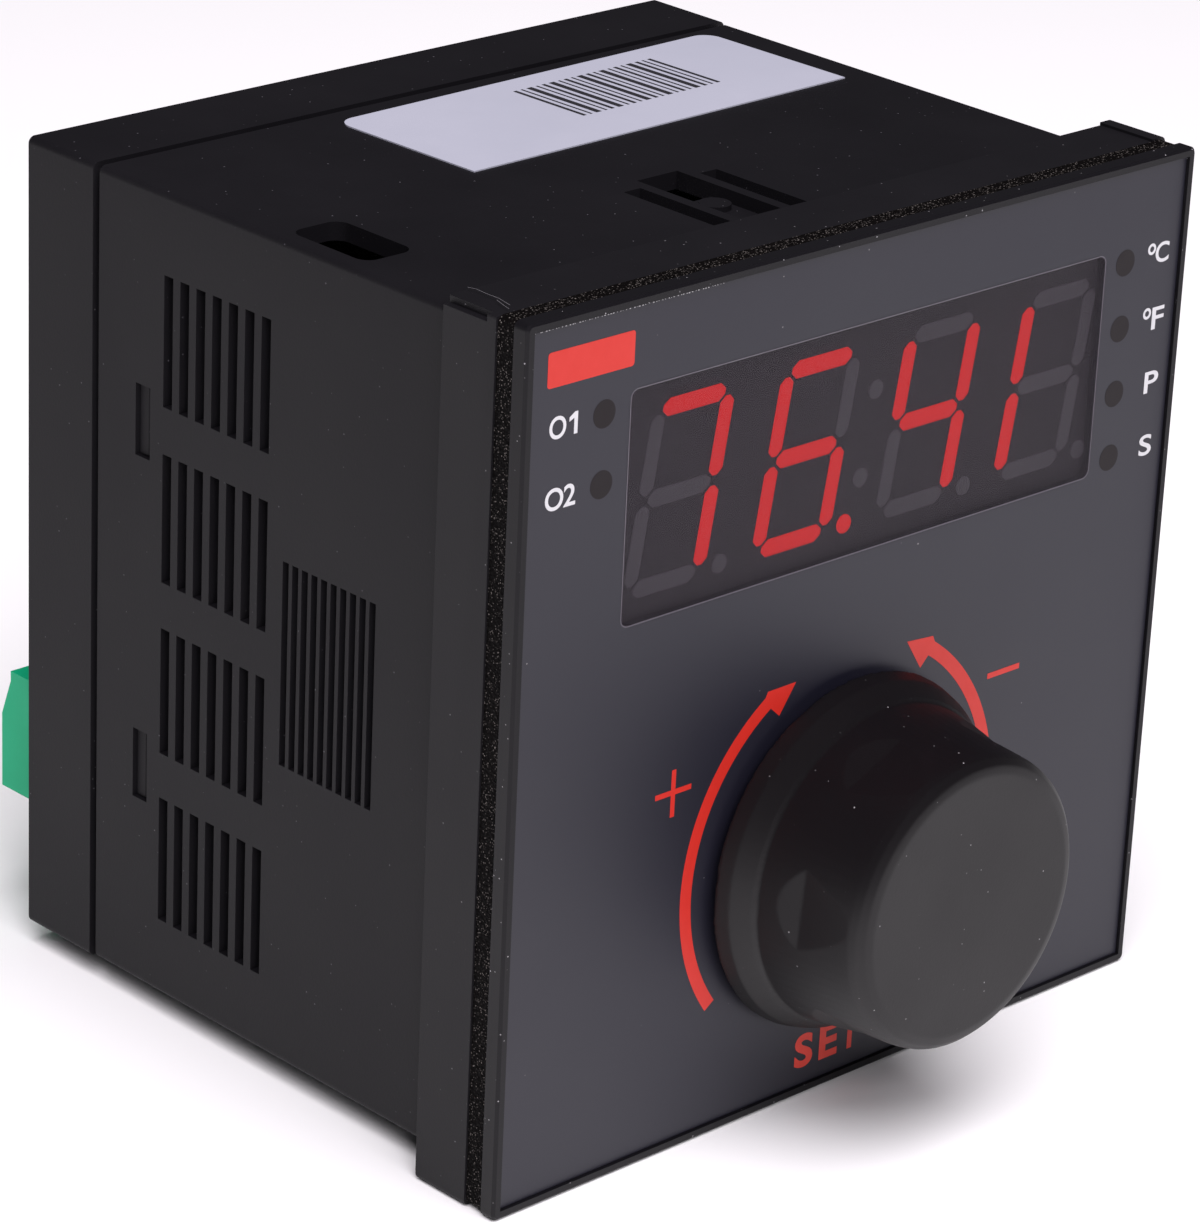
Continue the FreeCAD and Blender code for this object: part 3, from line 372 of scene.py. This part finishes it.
def laid_on_front(layer, material, fit=None):
    """A flat curve or text made a mesh, fitted to (x0, x1, z0, z1) in mm if given, and stood on the film."""
    select_only(layer)
    bpy.ops.object.convert(target="MESH")
    layer = bpy.context.object
    if fit:
        xs = [v.co.x for v in layer.data.vertices]
        ys = [v.co.y for v in layer.data.vertices]
        x0, x1, z0, z1 = fit
        wide = (x1 - x0) * MM / (max(xs) - min(xs))
        high = (z1 - z0) * MM / (max(ys) - min(ys))
        layer.data.transform(Matrix.Translation((x0 * MM, z0 * MM, 0)) @ Matrix.Diagonal((wide, high, 1, 1))
                             @ Matrix.Translation((-min(xs), -min(ys), 0)))
    layer.data.transform(Matrix.Translation((0, print_face - ink_lift_mm * MM, 0))
                         @ Matrix.Rotation(math.pi / 2, 4, "X"))
    bpy.ops.object.mode_set(mode="EDIT")
    bpy.ops.mesh.select_all(action="SELECT")
    bpy.ops.mesh.remove_doubles(threshold=1e-7)
    bpy.ops.mesh.normals_make_consistent(inside=False)
    bpy.ops.object.mode_set(mode="OBJECT")
    layer.data.materials.clear()
    layer.data.materials.append(material)
    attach(layer, "case")


def lettered(name, letter, size_mm, bolder_mm, fit, material):
    """One letter in Blender's own plain font, fitted to (x0, x1, z0, z1) in mm and laid on the film."""
    text = bpy.data.curves.new(name, "FONT")
    text.body = letter
    text.size = size_mm * MM
    text.offset = bolder_mm * MM
    text.extrude = ink_thick_mm / 2 * MM
    text.resolution_u = 6
    sign = bpy.data.objects.new(text.name, text)
    bpy.context.scene.collection.objects.link(sign)
    laid_on_front(sign, material, fit)


def arc(x, z, radius, start, end, steps):
    """Points on part of a circle, in degrees from +X towards +Z."""
    turns = [math.radians(start + (end - start) * i / steps) for i in range(steps + 1)]
    return [(x + radius * math.cos(t), z + radius * math.sin(t)) for t in turns]


def plate_outline(x0, x1, z0, z1, corner):
    """A rectangle with rounded corners."""
    points = []
    for x, z, start in ((x1 - corner, z1 - corner, 0), (x0 + corner, z1 - corner, 90),
                        (x0 + corner, z0 + corner, 180), (x1 - corner, z0 + corner, 270)):
        points += arc(x, z, corner, start, start + 90, 6)
    return points


# screen inks: flat, opaque, a little broken by the mesh; the spots are clear film smoked nearly black
white_ink = ink("white_screen_ink", ("#D2D2D5", "#C6C6CA"))
red_ink = ink("red_screen_ink", ("#C92A20", "#BF251B"))
smoked_spot, *_ = finish("smoked_spot_over_lamp", ("#161113", "#1A1417"), 0.5, 0.15, 0.003, cloud_mm=1.5,
                         IOR=1.5, Specular_IOR_Level=0.25)

printed("red_name_plate_bare", [plate_outline(-44.8, -33.4, 40.8, 44.45, 0.35)], red_ink)

lamp_spots = [(-37.1, 36.65), (-37.1, 29.35), (38.35, 36.77), (38.35, 29.4), (38.35, 22.07), (38.35, 14.79)]
spot_radius = 1.475
for i, (x, z) in enumerate(lamp_spots):
    printed(f"lamp_spot_{i + 1}", [arc(x, z, spot_radius, 0, 350, 35)], smoked_spot)

lamp_names = (("O", -44.3, -42.1, 35.45, 37.8),
              ("O", -44.5, -42.1, 28.1, 30.45), ("2", -42.05, -40.5, 28.15, 30.45),
              ("C", 43.2, 45.35, 35.7, 38.0), ("F", 43.5, 45.4, 28.2, 30.7),
              ("P", 43.2, 45.4, 20.95, 23.4), ("S", 43.25, 45.25, 13.7, 16.1))
for i, (letter, *place) in enumerate(lamp_names):
    lettered(f"lamp_name_{i + 1}", letter, 3.4, 0.05, place, white_ink)
printed("lamp_name_one", [[(-41.06, 35.5), (-40.6, 35.5), (-40.6, 37.78), (-40.98, 37.78), (-41.7, 37.3),
                           (-41.7, 36.87), (-41.06, 37.16)]], white_ink)
ring_outside, ring_inside = 0.64, 0.33
for i, (x, z) in enumerate(((42.55, 37.47), (42.65, 30.2))):
    printed(f"degree_ring_{i + 1}", [arc(x, z, radius, 0, 345, 23) for radius in (ring_outside, ring_inside)],
            white_ink)

arrow_centre_z = -19.8


def turn_arrow(name, side, tail, tip, barbs, neck):
    """A band that swells along a circle round the knob and ends in a three-cornered head."""
    outer, inner = [], []
    steps = 60
    for i in range(steps + 1):
        share = i / steps
        turn = math.radians(tail + (neck - tail) * share)
        x, z = math.cos(turn) * side, math.sin(turn)
        out_r = 23.2 + 0.35 * share ** 3
        in_r = 21.65 + 0.3 * share ** 3
        outer.append((out_r * x, arrow_centre_z + out_r * z))
        inner.append((in_r * x, arrow_centre_z + in_r * z))
    printed(name, [outer + [barbs[0], tip, barbs[1]] + inner[::-1]], red_ink)


turn_arrow("arrow_up_red", -1, -36.0, (-8.05, 0.9), ((-12.1, 0.86), (-10.26, -2.31)), 58.2)
turn_arrow("arrow_down_red", 1, -36.0, (8.39, 1.1), ((12.37, 0.75), (10.7, -2.47)), 57.4)
printed("plus_red", [[(-27.55, -7.05), (-25.35, -7.05), (-25.35, -9.5), (-24.75, -9.5), (-24.75, -7.05),
                      (-22.5, -7.05), (-22.5, -6.45), (-24.75, -6.45), (-24.75, -4.25), (-25.35, -4.25),
                      (-25.35, -6.45), (-27.55, -6.45)]], red_ink)
printed("minus_red", [[(21.46, -6.62), (26.47, -6.62), (26.47, -5.98), (21.46, -5.98)]], red_ink)
# the same red painted brighter, painted light against the knob's shade, so that SET still reads there
brightened_red_ink = ink("red_screen_ink_painted_brighter", ("#DC4234", "#D03A2D"))
for i, (letter, x0, x1) in enumerate((("S", -4.73, -2.0), ("E", -1.0, 1.75), ("T", 2.3, 5.0))):
    lettered(f"set_letter_{i + 1}", letter, 5.4, 0.18, (x0, x1, -45.0, -41.0), brightened_red_ink)


# ---------------------------------------------------------------------------------------------------
# Display: a dark block with four slanted seven-segment digits, moulded resin bars over red diodes, seen
# through the smoked clear part of the film. Lit bars glow evenly; the others are a little paler than
# the block. The number on show is a reading of the object's own.
# smoked clear film: veils the block behind it in a dim violet-grey, still with the film's velvet face
smoked_window, smoked_shader, smoked_place, smoked_colour = finish(
    "smoked_velvet_window", ("#211B24", "#251F28"), 0.5, 0.12, 0.003, cloud_mm=30.0, IOR=1.5, Alpha=0.4,
    Specular_IOR_Level=0.45)
dust_and_glint_specks(smoked_window, smoked_shader, smoked_place, smoked_colour, 1.6, 0.17, 0.16, "#C4C2C0")
dress("display_window", smoked_window)

# grey-painted face: a shade darker than the unlit bars, so that they can just be made out
block_face, *_ = finish("grey_face_of_display_block", ("#352E35", "#3A3239"), 0.6, 0.3, 0.01)
dress("display_module", block_face)

# milky resin: a dull grey bar when unlit, an even red glow without hot spots when lit
unlit_resin, *_ = finish("unlit_diffusing_resin", ("#6C6870", "#726D75"), 0.5, 0.2, 0.01)
lit_resin, lit_shader, *_ = finish(
    "lit_red_diffusing_resin", ("#C02018", "#B81C16"), 0.5, 0.2, 0.01, Emission_Strength=1.08)
lit_shader.inputs["Emission Color"].default_value = linear("#FF0804")

segments = joined_copy("display_segments", "display_segments_rounded")
bpy.ops.mesh.dissolve_limited(angle_limit=math.radians(1))
bpy.ops.mesh.select_all(action="DESELECT")
bpy.ops.object.mode_set(mode="OBJECT")
segments.data.materials.clear()
segments.data.materials.append(unlit_resin)
segments.data.materials.append(lit_resin)
digit_x = (-25.41, -7.57, 10.27, 28.11)     # middle of each digit
digit_z = 25.65
slant = math.tan(math.radians(9.2))
lit_bars = ("abc", "acdefg.", "bcfg", "ef")


def segment_at(x, z):
    """Digit number and segment letter at a place on the display, in mm."""
    up = z - digit_z
    along = x - up * slant
    digit = min(range(4), key=lambda i: abs(digit_x[i] - along + 0.9))
    beside = along - digit_x[digit]
    if abs(beside) > 6.2:
        return digit, "." if up < -7 else ":"
    if abs(beside) < 3.6:
        return digit, "a" if up > 5 else "d" if up < -5 else "g"
    return digit, ("b" if up > 0 else "c") if beside > 0 else ("f" if up > 0 else "e")


# each bar or point is one joined-up set of corners; it is sorted by its middle, shortened and widened
neighbours = {}
for edge in segments.data.edges:
    for one, other in (edge.vertices, reversed(edge.vertices)):
        neighbours.setdefault(one, []).append(other)
bar_of = {}
for first in neighbours:
    if first in bar_of:
        continue
    reached, waiting = set(), [first]
    while waiting:
        corner = waiting.pop()
        if corner not in reached:
            reached.add(corner)
            waiting += neighbours[corner]
    corners = [segments.data.vertices[i] for i in reached]
    middle = sum((c.co for c in corners), Vector()) / len(corners)
    digit, letter = segment_at(middle.x / MM, middle.z / MM)
    for corner in corners:
        bar_of[corner.index] = (digit, letter)
        up, along = corner.co.z - middle.z, corner.co.x - middle.x
        across = along - up * slant
        if letter in ".:":
            up, across = up * 1.1, across * 1.1
        elif letter in "adg":
            up, across = up * 0.93, across * 0.92
        else:
            up, across = up * 0.9, across * 1.16
        corner.co.x, corner.co.z = middle.x + across + up * slant, middle.z + up
for face in segments.data.polygons:
    digit, letter = bar_of[face.vertices[0]]
    face.material_index = 1 if letter in lit_bars[digit] else 0
for edge in segments.data.edges:
    a, b = (segments.data.vertices[i].co for i in edge.vertices)
    edge.select = abs((a - b).normalized().y) > 0.9 and bar_of[edge.vertices[0]][1] not in ".:"
bpy.ops.object.mode_set(mode="EDIT")
bpy.ops.mesh.bevel(offset=0.34 * MM, segments=4, affect="EDGES", clamp_overlap=True)
bpy.ops.mesh.select_all(action="DESELECT")
bpy.ops.object.mode_set(mode="OBJECT")
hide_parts("display_segments")
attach(segments, "case")

# a hair-thin paler line round the window, along the clear part's cut edge: a painted highlight
window_low, window_high = (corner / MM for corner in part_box("display_window"))
window_edge_highlight_ink = ink("painted_highlight_round_window", ("#5A565E", "#625E66"))
printed("window_edge_line", [
    plate_outline(window_low.x, window_high.x, window_low.z, window_high.z, 1.0),
    plate_outline(window_low.x + 0.11, window_high.x - 0.11, window_low.z + 0.11, window_high.z - 0.11, 0.9)],
    window_edge_highlight_ink)


# ---------------------------------------------------------------------------------------------------
# Wear and painted highlight: specks of white film bared along the overlay's top left edges, and two
# pale strokes on the collar's top corner, a painted highlight.
# bared white film: tiny uneven pale specks, where handling took the print off the edge
bared_film = ink("bared_white_film_edge", ("#C8C6C8", "#A8A6AA"))
worn_specks = []
for i in range(120):
    draw = math.sin(i * 12.9898) * 43758.5453 % 1
    size = 0.05 + 0.07 * (draw * 7 % 1)
    along = (46.6 - i * 0.42 - 0.3 * draw) if i < 60 else (46.6 - (i - 60) * 0.62 - 0.4 * draw)
    x, z = (-along, 46.78) if i < 60 else (-46.78, along)
    worn_specks.append([(x - size, z - size / 2), (x + size, z - size / 2), (x + size * 0.6, z + size / 2),
                        (x - size * 0.7, z + size / 2)])
printed("overlay_edge_wear", worn_specks, bared_film)

step_highlight_paths = (((-45.1, 7.3), (-44.8, 6.4), (-44.9, 4.65), (-44.85, 3.2), (-45.3, 1.05)),
               ((-45.35, 2.85), (-45.9, 1.1), (-46.1, 0.3)))
collar_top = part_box("mounting_collar")[1].z
# painted highlight: two thin broken grey strokes on the collar's top near the left corner
collar_highlight_paint = ink("painted_highlight_on_collar_top", ("#7C7A7E", "#4A484C"))
for i, path in enumerate(step_highlight_paths):
    highlight_stroke = bpy.data.curves.new(f"collar_painted_highlight_{i + 1}", "CURVE")
    highlight_stroke.dimensions = "3D"
    highlight_stroke.bevel_depth = 0.035 * MM
    highlight_stroke.bevel_resolution = 1
    line = highlight_stroke.splines.new("POLY")
    line.points.add(len(path) - 1)
    for point, (x, y) in zip(line.points, path):
        point.co = (x * MM, y * MM, 0, 1)
    mark = bpy.data.objects.new(highlight_stroke.name, highlight_stroke)
    bpy.context.scene.collection.objects.link(mark)
    select_only(mark)
    bpy.ops.object.convert(target="MESH")
    mark = bpy.context.object
    mark.data.transform(Matrix.Translation((0, 0, collar_top - 0.02 * MM)) @ Matrix.Diagonal((1, 1, 0.3, 1)))
    mark.data.materials.clear()
    mark.data.materials.append(collar_highlight_paint)
    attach(mark, "collar")


# ---------------------------------------------------------------------------------------------------
# Indicator lamps: a clear acrylic light pipe in the bezel behind each spot, and a white-bodied diode
# with yellow resin on the front board.
# clear acrylic with polished ends, glassy; the opaque print hides it from the front
pipe_acrylic, *_ = finish("polished_clear_acrylic", ("#EDEEEE", "#E2E4E4"), 0.08, 1.5, 0.01,
                          IOR=1.49, Transmission_Weight=0.9)
dress("light_pipes", pipe_acrylic)
# ceramic-white body and yellow resin in soft patches
diode_resin, *_ = finish("white_diode_body_with_yellow_resin", ("#E6E2D2", "#E8D98A"), 0.35, 0.4, 0.02,
                         cloud_mm=1.2, IOR=1.54)
dress("indicator_diodes", diode_resin)


# ---------------------------------------------------------------------------------------------------
# Control knob: one satin black moulding with a flared skirt and six thumb flats, pushed on to the
# encoder's shaft. A fine even skin, relaxed a little, gives its edges the small rounds of the tool.
# satin black plastic: a soft light on each flat and round the skirt, faint dust
knob_plastic, knob_shader, knob_place, knob_colour = finish(
    "satin_black_moulded_knob", ("#0D0B0D", "#110F11"), 0.52, 0.3, 0.022, cloud_mm=14.0, IOR=1.5,
    Specular_IOR_Level=0.46)
dust_and_glint_specks(knob_plastic, knob_shader, knob_place, knob_colour, 1.0, 0.17, 0.3, "#9A989A")
knob = joined_copy("control_knob", "control_knob_moulding")
bpy.ops.object.mode_set(mode="OBJECT")
# A plain band round the skirt. The solid's thumb flats nick its rim by mistake, by up to 0.25 mm where it
# was measured, and the real rim is whole: the band fills the nicks here, and the solid still has them.
knob_low, knob_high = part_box("control_knob")
knob_axis_z = (knob_low.z + knob_high.z) / 2
bpy.ops.object.select_all(action="DESELECT")
bpy.ops.mesh.primitive_plane_add(size=1.0)
rim_band = bpy.context.object
band_section = ((18.3, -5.42), (19.78, -5.42), (18.3, -8.8), (19.3, -7.2))      # radius and depth
for corner, (radius, y) in zip(rim_band.data.vertices, band_section):
    corner.co = (radius * MM, y * MM, knob_axis_z)
bpy.ops.object.mode_set(mode="EDIT")
bpy.ops.mesh.select_all(action="SELECT")
bpy.ops.mesh.delete(type="ONLY_FACE")
bpy.ops.mesh.select_all(action="SELECT")
bpy.ops.mesh.spin(steps=144, angle=math.tau, center=(0, 0, knob_axis_z), axis=(0, 1, 0))
bpy.ops.mesh.select_all(action="SELECT")
bpy.ops.mesh.remove_doubles(threshold=1e-6)
bpy.ops.mesh.normals_make_consistent(inside=False)
bpy.ops.object.mode_set(mode="OBJECT")
knob.select_set(True)
bpy.context.view_layer.objects.active = knob
bpy.ops.object.join()
even_skin = knob.modifiers.new("even_skin", "REMESH")
even_skin.mode = "VOXEL"
even_skin.voxel_size = 0.2 * MM
even_skin.use_smooth_shade = True
bpy.ops.object.modifier_apply(modifier=even_skin.name)
relaxed = knob.modifiers.new("relaxed", "SMOOTH")
relaxed.factor = 0.5
relaxed.iterations = 2
bpy.ops.object.modifier_apply(modifier=relaxed.name)
thinned = knob.modifiers.new("thinned", "DECIMATE")
thinned.ratio = 0.42
bpy.ops.object.modifier_apply(modifier=thinned.name)
for corner in knob.data.vertices:
    corner.co.y = min(max(corner.co.y, knob_low.y), knob_high.y)
knob.data.materials.clear()
knob.data.materials.append(knob_plastic)
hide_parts("control_knob")
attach(knob, frame["nodes"]["control_knob"]["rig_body"])


# ---------------------------------------------------------------------------------------------------
# Encoder with push switch behind the knob: turned steel shaft, die-cast neck with a thin nut and
# washer, black resin body, acetal plunger and a sprung dome.
# bare metals with an uneven gloss, a dull black resin, and a waxy off-white plastic
steel, *_ = finish("plain_turned_steel", ("#A5A5A9", "#8E8E94"), 0.32, 0.6, 0.01, cloud_mm=3.0,
                   Metallic=1.0)
zinc, *_ = finish("bright_die_cast_zinc", ("#9C9CA0", "#84848A"), 0.42, 0.35, 0.02, cloud_mm=3.0,
                  Metallic=1.0)
resin, *_ = finish("black_moulded_resin", ("#161617", "#1D1D1E"), 0.55, 0.2, 0.02, cloud_mm=6.0, IOR=1.55)
acetal, *_ = finish("natural_acetal", ("#E2DFD6", "#D6D3C8"), 0.4, 0.3, 0.01, cloud_mm=3.0, IOR=1.48)
for encoder_node, encoder_finish in (
        ("encoder_shaft", steel), ("encoder_bushing", zinc), ("encoder_washer", steel),
        ("encoder_nut", steel), ("switch_dome", steel), ("encoder_body", resin), ("switch_plunger", acetal)):
    dress(encoder_node, encoder_finish)


# ---------------------------------------------------------------------------------------------------
# Circuit boards: green solder mask over glass laminate. Under the mask the copper tracks show as
# slightly paler, raised lines on a 2.5 mm grid.
# solder mask: glossy deep green, with the tracks a paler green under it
board_mask, board_shader, board_place, board_colour = finish(
    "green_solder_mask_on_laminate", ("#0F4A26", "#135230"), 0.32, 0.3, 0.01, cloud_mm=12.0, IOR=1.52)
board_tracks = add_node(board_mask, "ShaderNodeTexBrick", {
    "Vector": board_place, "Color1": (1, 1, 1, 1), "Color2": (0.6, 0.6, 0.6, 1), "Mortar": (0, 0, 0, 1),
    "Scale": 1.0, "Mortar Size": 0.5 * MM, "Brick Width": 9.0 * MM, "Row Height": 2.5 * MM})
board_green = add_node(board_mask, "ShaderNodeMix", {
    0: board_tracks.outputs["Fac"], 6: board_colour, 7: linear("#2A7A48")}, data_type="RGBA")
board_mask.node_tree.links.new(board_green.outputs[2], board_shader.inputs["Base Color"])
board_relief = add_node(board_mask, "ShaderNodeBump", {
    "Strength": 0.8, "Distance": 0.04 * MM, "Height": board_tracks.outputs["Fac"]})
board_mask.node_tree.links.new(board_relief.outputs["Normal"], board_shader.inputs["Normal"])
for board_node in ("front_board", "main_board"):
    dress(board_node, board_mask)


# ---------------------------------------------------------------------------------------------------
# Parts on the boards: sealed relays, a ferrite-cored transformer with taped winding, two electrolytic
# capacitors, the controller chip and the pin strip between the boards. All soldered in place.
# satin black cover, matt grey ferrite, shiny yellow tape, glossy dark sleeve: each part reads by its gloss
relay_cover, *_ = finish("black_relay_cover", ("#131314", "#19191A"), 0.38, 0.3, 0.01, cloud_mm=8.0, IOR=1.55)
ferrite, *_ = finish("sintered_grey_ferrite", ("#2E2C2B", "#3B3937"), 0.55, 0.35, 0.03, cloud_mm=3.0)
tape, *_ = finish("yellow_polyester_winding_tape", ("#DDB030", "#CFA024"), 0.3, 1.2, 0.03, cloud_mm=5.0,
                  IOR=1.57)
sleeve, *_ = finish("shrunk_dark_blue_sleeve", ("#101320", "#161A2A"), 0.28, 0.8, 0.02, cloud_mm=5.0,
                    IOR=1.53)
for board_part, part_finish in (
        ("output_relays", relay_cover), ("transformer_core", ferrite), ("transformer_winding", tape),
        ("filter_capacitors", sleeve), ("controller_chip", resin), ("board_link", resin)):
    dress(board_part, part_finish)


# ---------------------------------------------------------------------------------------------------
# Rating label: pale silver-grey vinyl stuck slightly askew on the top, bare but for a strip of plain
# bars printed in black. The bars carry no code.
# pale vinyl: a flat lilac-grey, the lightest surface on top of the case
vinyl, *_ = finish("pale_silver_grey_vinyl", ("#A2A4B2", "#ABACB9"), 0.42, 0.8, 0.01, cloud_mm=18.0, IOR=1.5)
dress("rating_label", vinyl)
# thermal ink: crisp, slightly faded black bars
bar_ink = ink("black_thermal_ink", ("#232226", "#2C2B2F"))
label_low, label_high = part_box("rating_label")
label_middle = (label_low + label_high) / 2
bar_widths = (0.5, 0.3, 0.8, 0.3, 0.5, 0.8, 0.3, 0.5, 0.3, 0.8,
              0.5, 0.3, 0.8, 0.3, 0.5, 0.3, 0.8, 0.5, 0.3, 0.5)
bar_length = 11.0
bars_middle_y = 52.6
strip_width = 21.1
bar_x = 7.1
bar_gap = (strip_width - sum(bar_widths)) / (len(bar_widths) - 1)
label_turn = Matrix.Rotation(math.radians(1.3), 4, "Z")
for i, width in enumerate(bar_widths):
    bpy.ops.object.select_all(action="DESELECT")
    bpy.ops.mesh.primitive_plane_add(size=1.0)
    stripe = bpy.context.object
    stripe.name = f"label_bar_{i + 1:02d}"
    bar_middle = ((bar_x + width / 2) * MM, bars_middle_y * MM, label_high.z + 0.004 * MM)
    stripe.data.transform(Matrix.Translation(bar_middle)
                          @ Matrix.Diagonal((width * MM, bar_length * MM, 1, 1)))
    stripe.data.transform(Matrix.Translation(label_middle) @ label_turn @ Matrix.Translation(-label_middle))
    bpy.ops.object.mode_set(mode="EDIT")
    bpy.ops.mesh.select_all(action="SELECT")
    bpy.ops.mesh.extrude_region_move(TRANSFORM_OT_translate={"value": (0, 0, 0.008 * MM)})
    bpy.ops.mesh.select_all(action="SELECT")
    bpy.ops.mesh.normals_make_consistent(inside=False)
    bpy.ops.object.mode_set(mode="OBJECT")
    stripe.data.materials.append(bar_ink)
    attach(stripe, "case")
    bar_x += width + bar_gap


# ---------------------------------------------------------------------------------------------------
# Plug-in terminals: green polyamide headers on the main board and plugs that push into them, with
# tinned brass pins and rising clamps. Each pole has a slotted plated screw down its hole.
# green polyamide: an even saturated green with a low sheen, a little lighter along its edges
green_nylon, *_ = finish("green_moulded_polyamide", ("#12B482", "#0EA474"), 0.55, 0.3, 0.02, cloud_mm=10.0,
                         IOR=1.53, Specular_IOR_Level=0.3)
green_edge, *_ = finish("softened_edge_of_green_polyamide", ("#1DB888", "#16AC7C"), 0.48, 0.4, 0.01,
                        cloud_mm=4.0, IOR=1.53)
for terminal in ("terminal_plug_left", "terminal_plug_right",
                 "terminal_header_left", "terminal_header_right"):
    terminal_moulding = softened(terminal, 0.1)
    terminal_moulding.data.materials.append(green_nylon)
    terminal_moulding.data.materials.append(green_edge)
# tinned brass: a warm pale grey metal, faintly cloudy
tinned, *_ = finish("tinned_brass", ("#BDB7A8", "#A9A294"), 0.35, 0.4, 0.01, cloud_mm=2.5, Metallic=1.0)
for contact in ("header_pins_left", "header_pins_right", "plug_clamps_left", "plug_clamps_right"):
    dress(contact, tinned)

bpy.ops.object.select_all(action="DESELECT")
screw_middle_z = -22.05
screw_face_z = -21.2
bpy.ops.mesh.primitive_cylinder_add(vertices=24, radius=1.6 * MM, depth=1.7 * MM,
                                    location=(0, 0, screw_middle_z * MM))
screw = bpy.context.object
bpy.ops.object.transform_apply(location=True)
bpy.ops.object.select_all(action="DESELECT")
bpy.ops.mesh.primitive_cube_add(size=1.0)
slot_cutter = bpy.context.object
slot_cutter.data.transform(Matrix.Translation((0, 0, screw_face_z * MM))
                           @ Matrix.Diagonal((4.0 * MM, 0.55 * MM, 1.1 * MM, 1)))
slot_cut = screw.modifiers.new("slot", "BOOLEAN")
slot_cut.object = slot_cutter
slot_cut.solver = "EXACT"
screw_round = screw.modifiers.new("edge", "BEVEL")
screw_round.width = 0.12 * MM
screw_round.segments = 2
screw_round.limit_method = "ANGLE"
screw_round.angle_limit = math.radians(40)
bpy.context.view_layer.objects.active = screw
bpy.ops.object.modifier_apply(modifier="slot")
bpy.ops.object.modifier_apply(modifier="edge")
bpy.data.objects.remove(slot_cutter)
screw_mesh = screw.data
bpy.data.objects.remove(screw)
# zinc plate: a cool bright grey head with a dark slot
plated, *_ = finish("zinc_plated_steel_screw", ("#B4B5B8", "#9A9BA0"), 0.34, 0.4, 0.01, cloud_mm=1.5,
                    Metallic=1.0)
pole_count = 6
screw_y = 81.1
for side, first_turn in (("left", 0), ("right", 20)):
    plug_low, plug_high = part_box(f"terminal_plug_{side}")
    pole_pitch = (plug_high.x - plug_low.x) / pole_count
    for pole in range(pole_count):
        pole_screw = bpy.data.objects.new(f"plug_screw_{side}_{pole + 1}", screw_mesh.copy())
        turn = Matrix.Rotation(math.radians((37 * pole + first_turn) % 180), 4, "Z")
        screw_place = (plug_low.x + pole_pitch * (pole + 0.5), screw_y * MM, 0)
        pole_screw.data.transform(Matrix.Translation(screw_place) @ turn)
        bpy.context.scene.collection.objects.link(pole_screw)
        pole_screw.data.materials.clear()
        pole_screw.data.materials.append(plated)
        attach(pole_screw, f"plug_{side}")
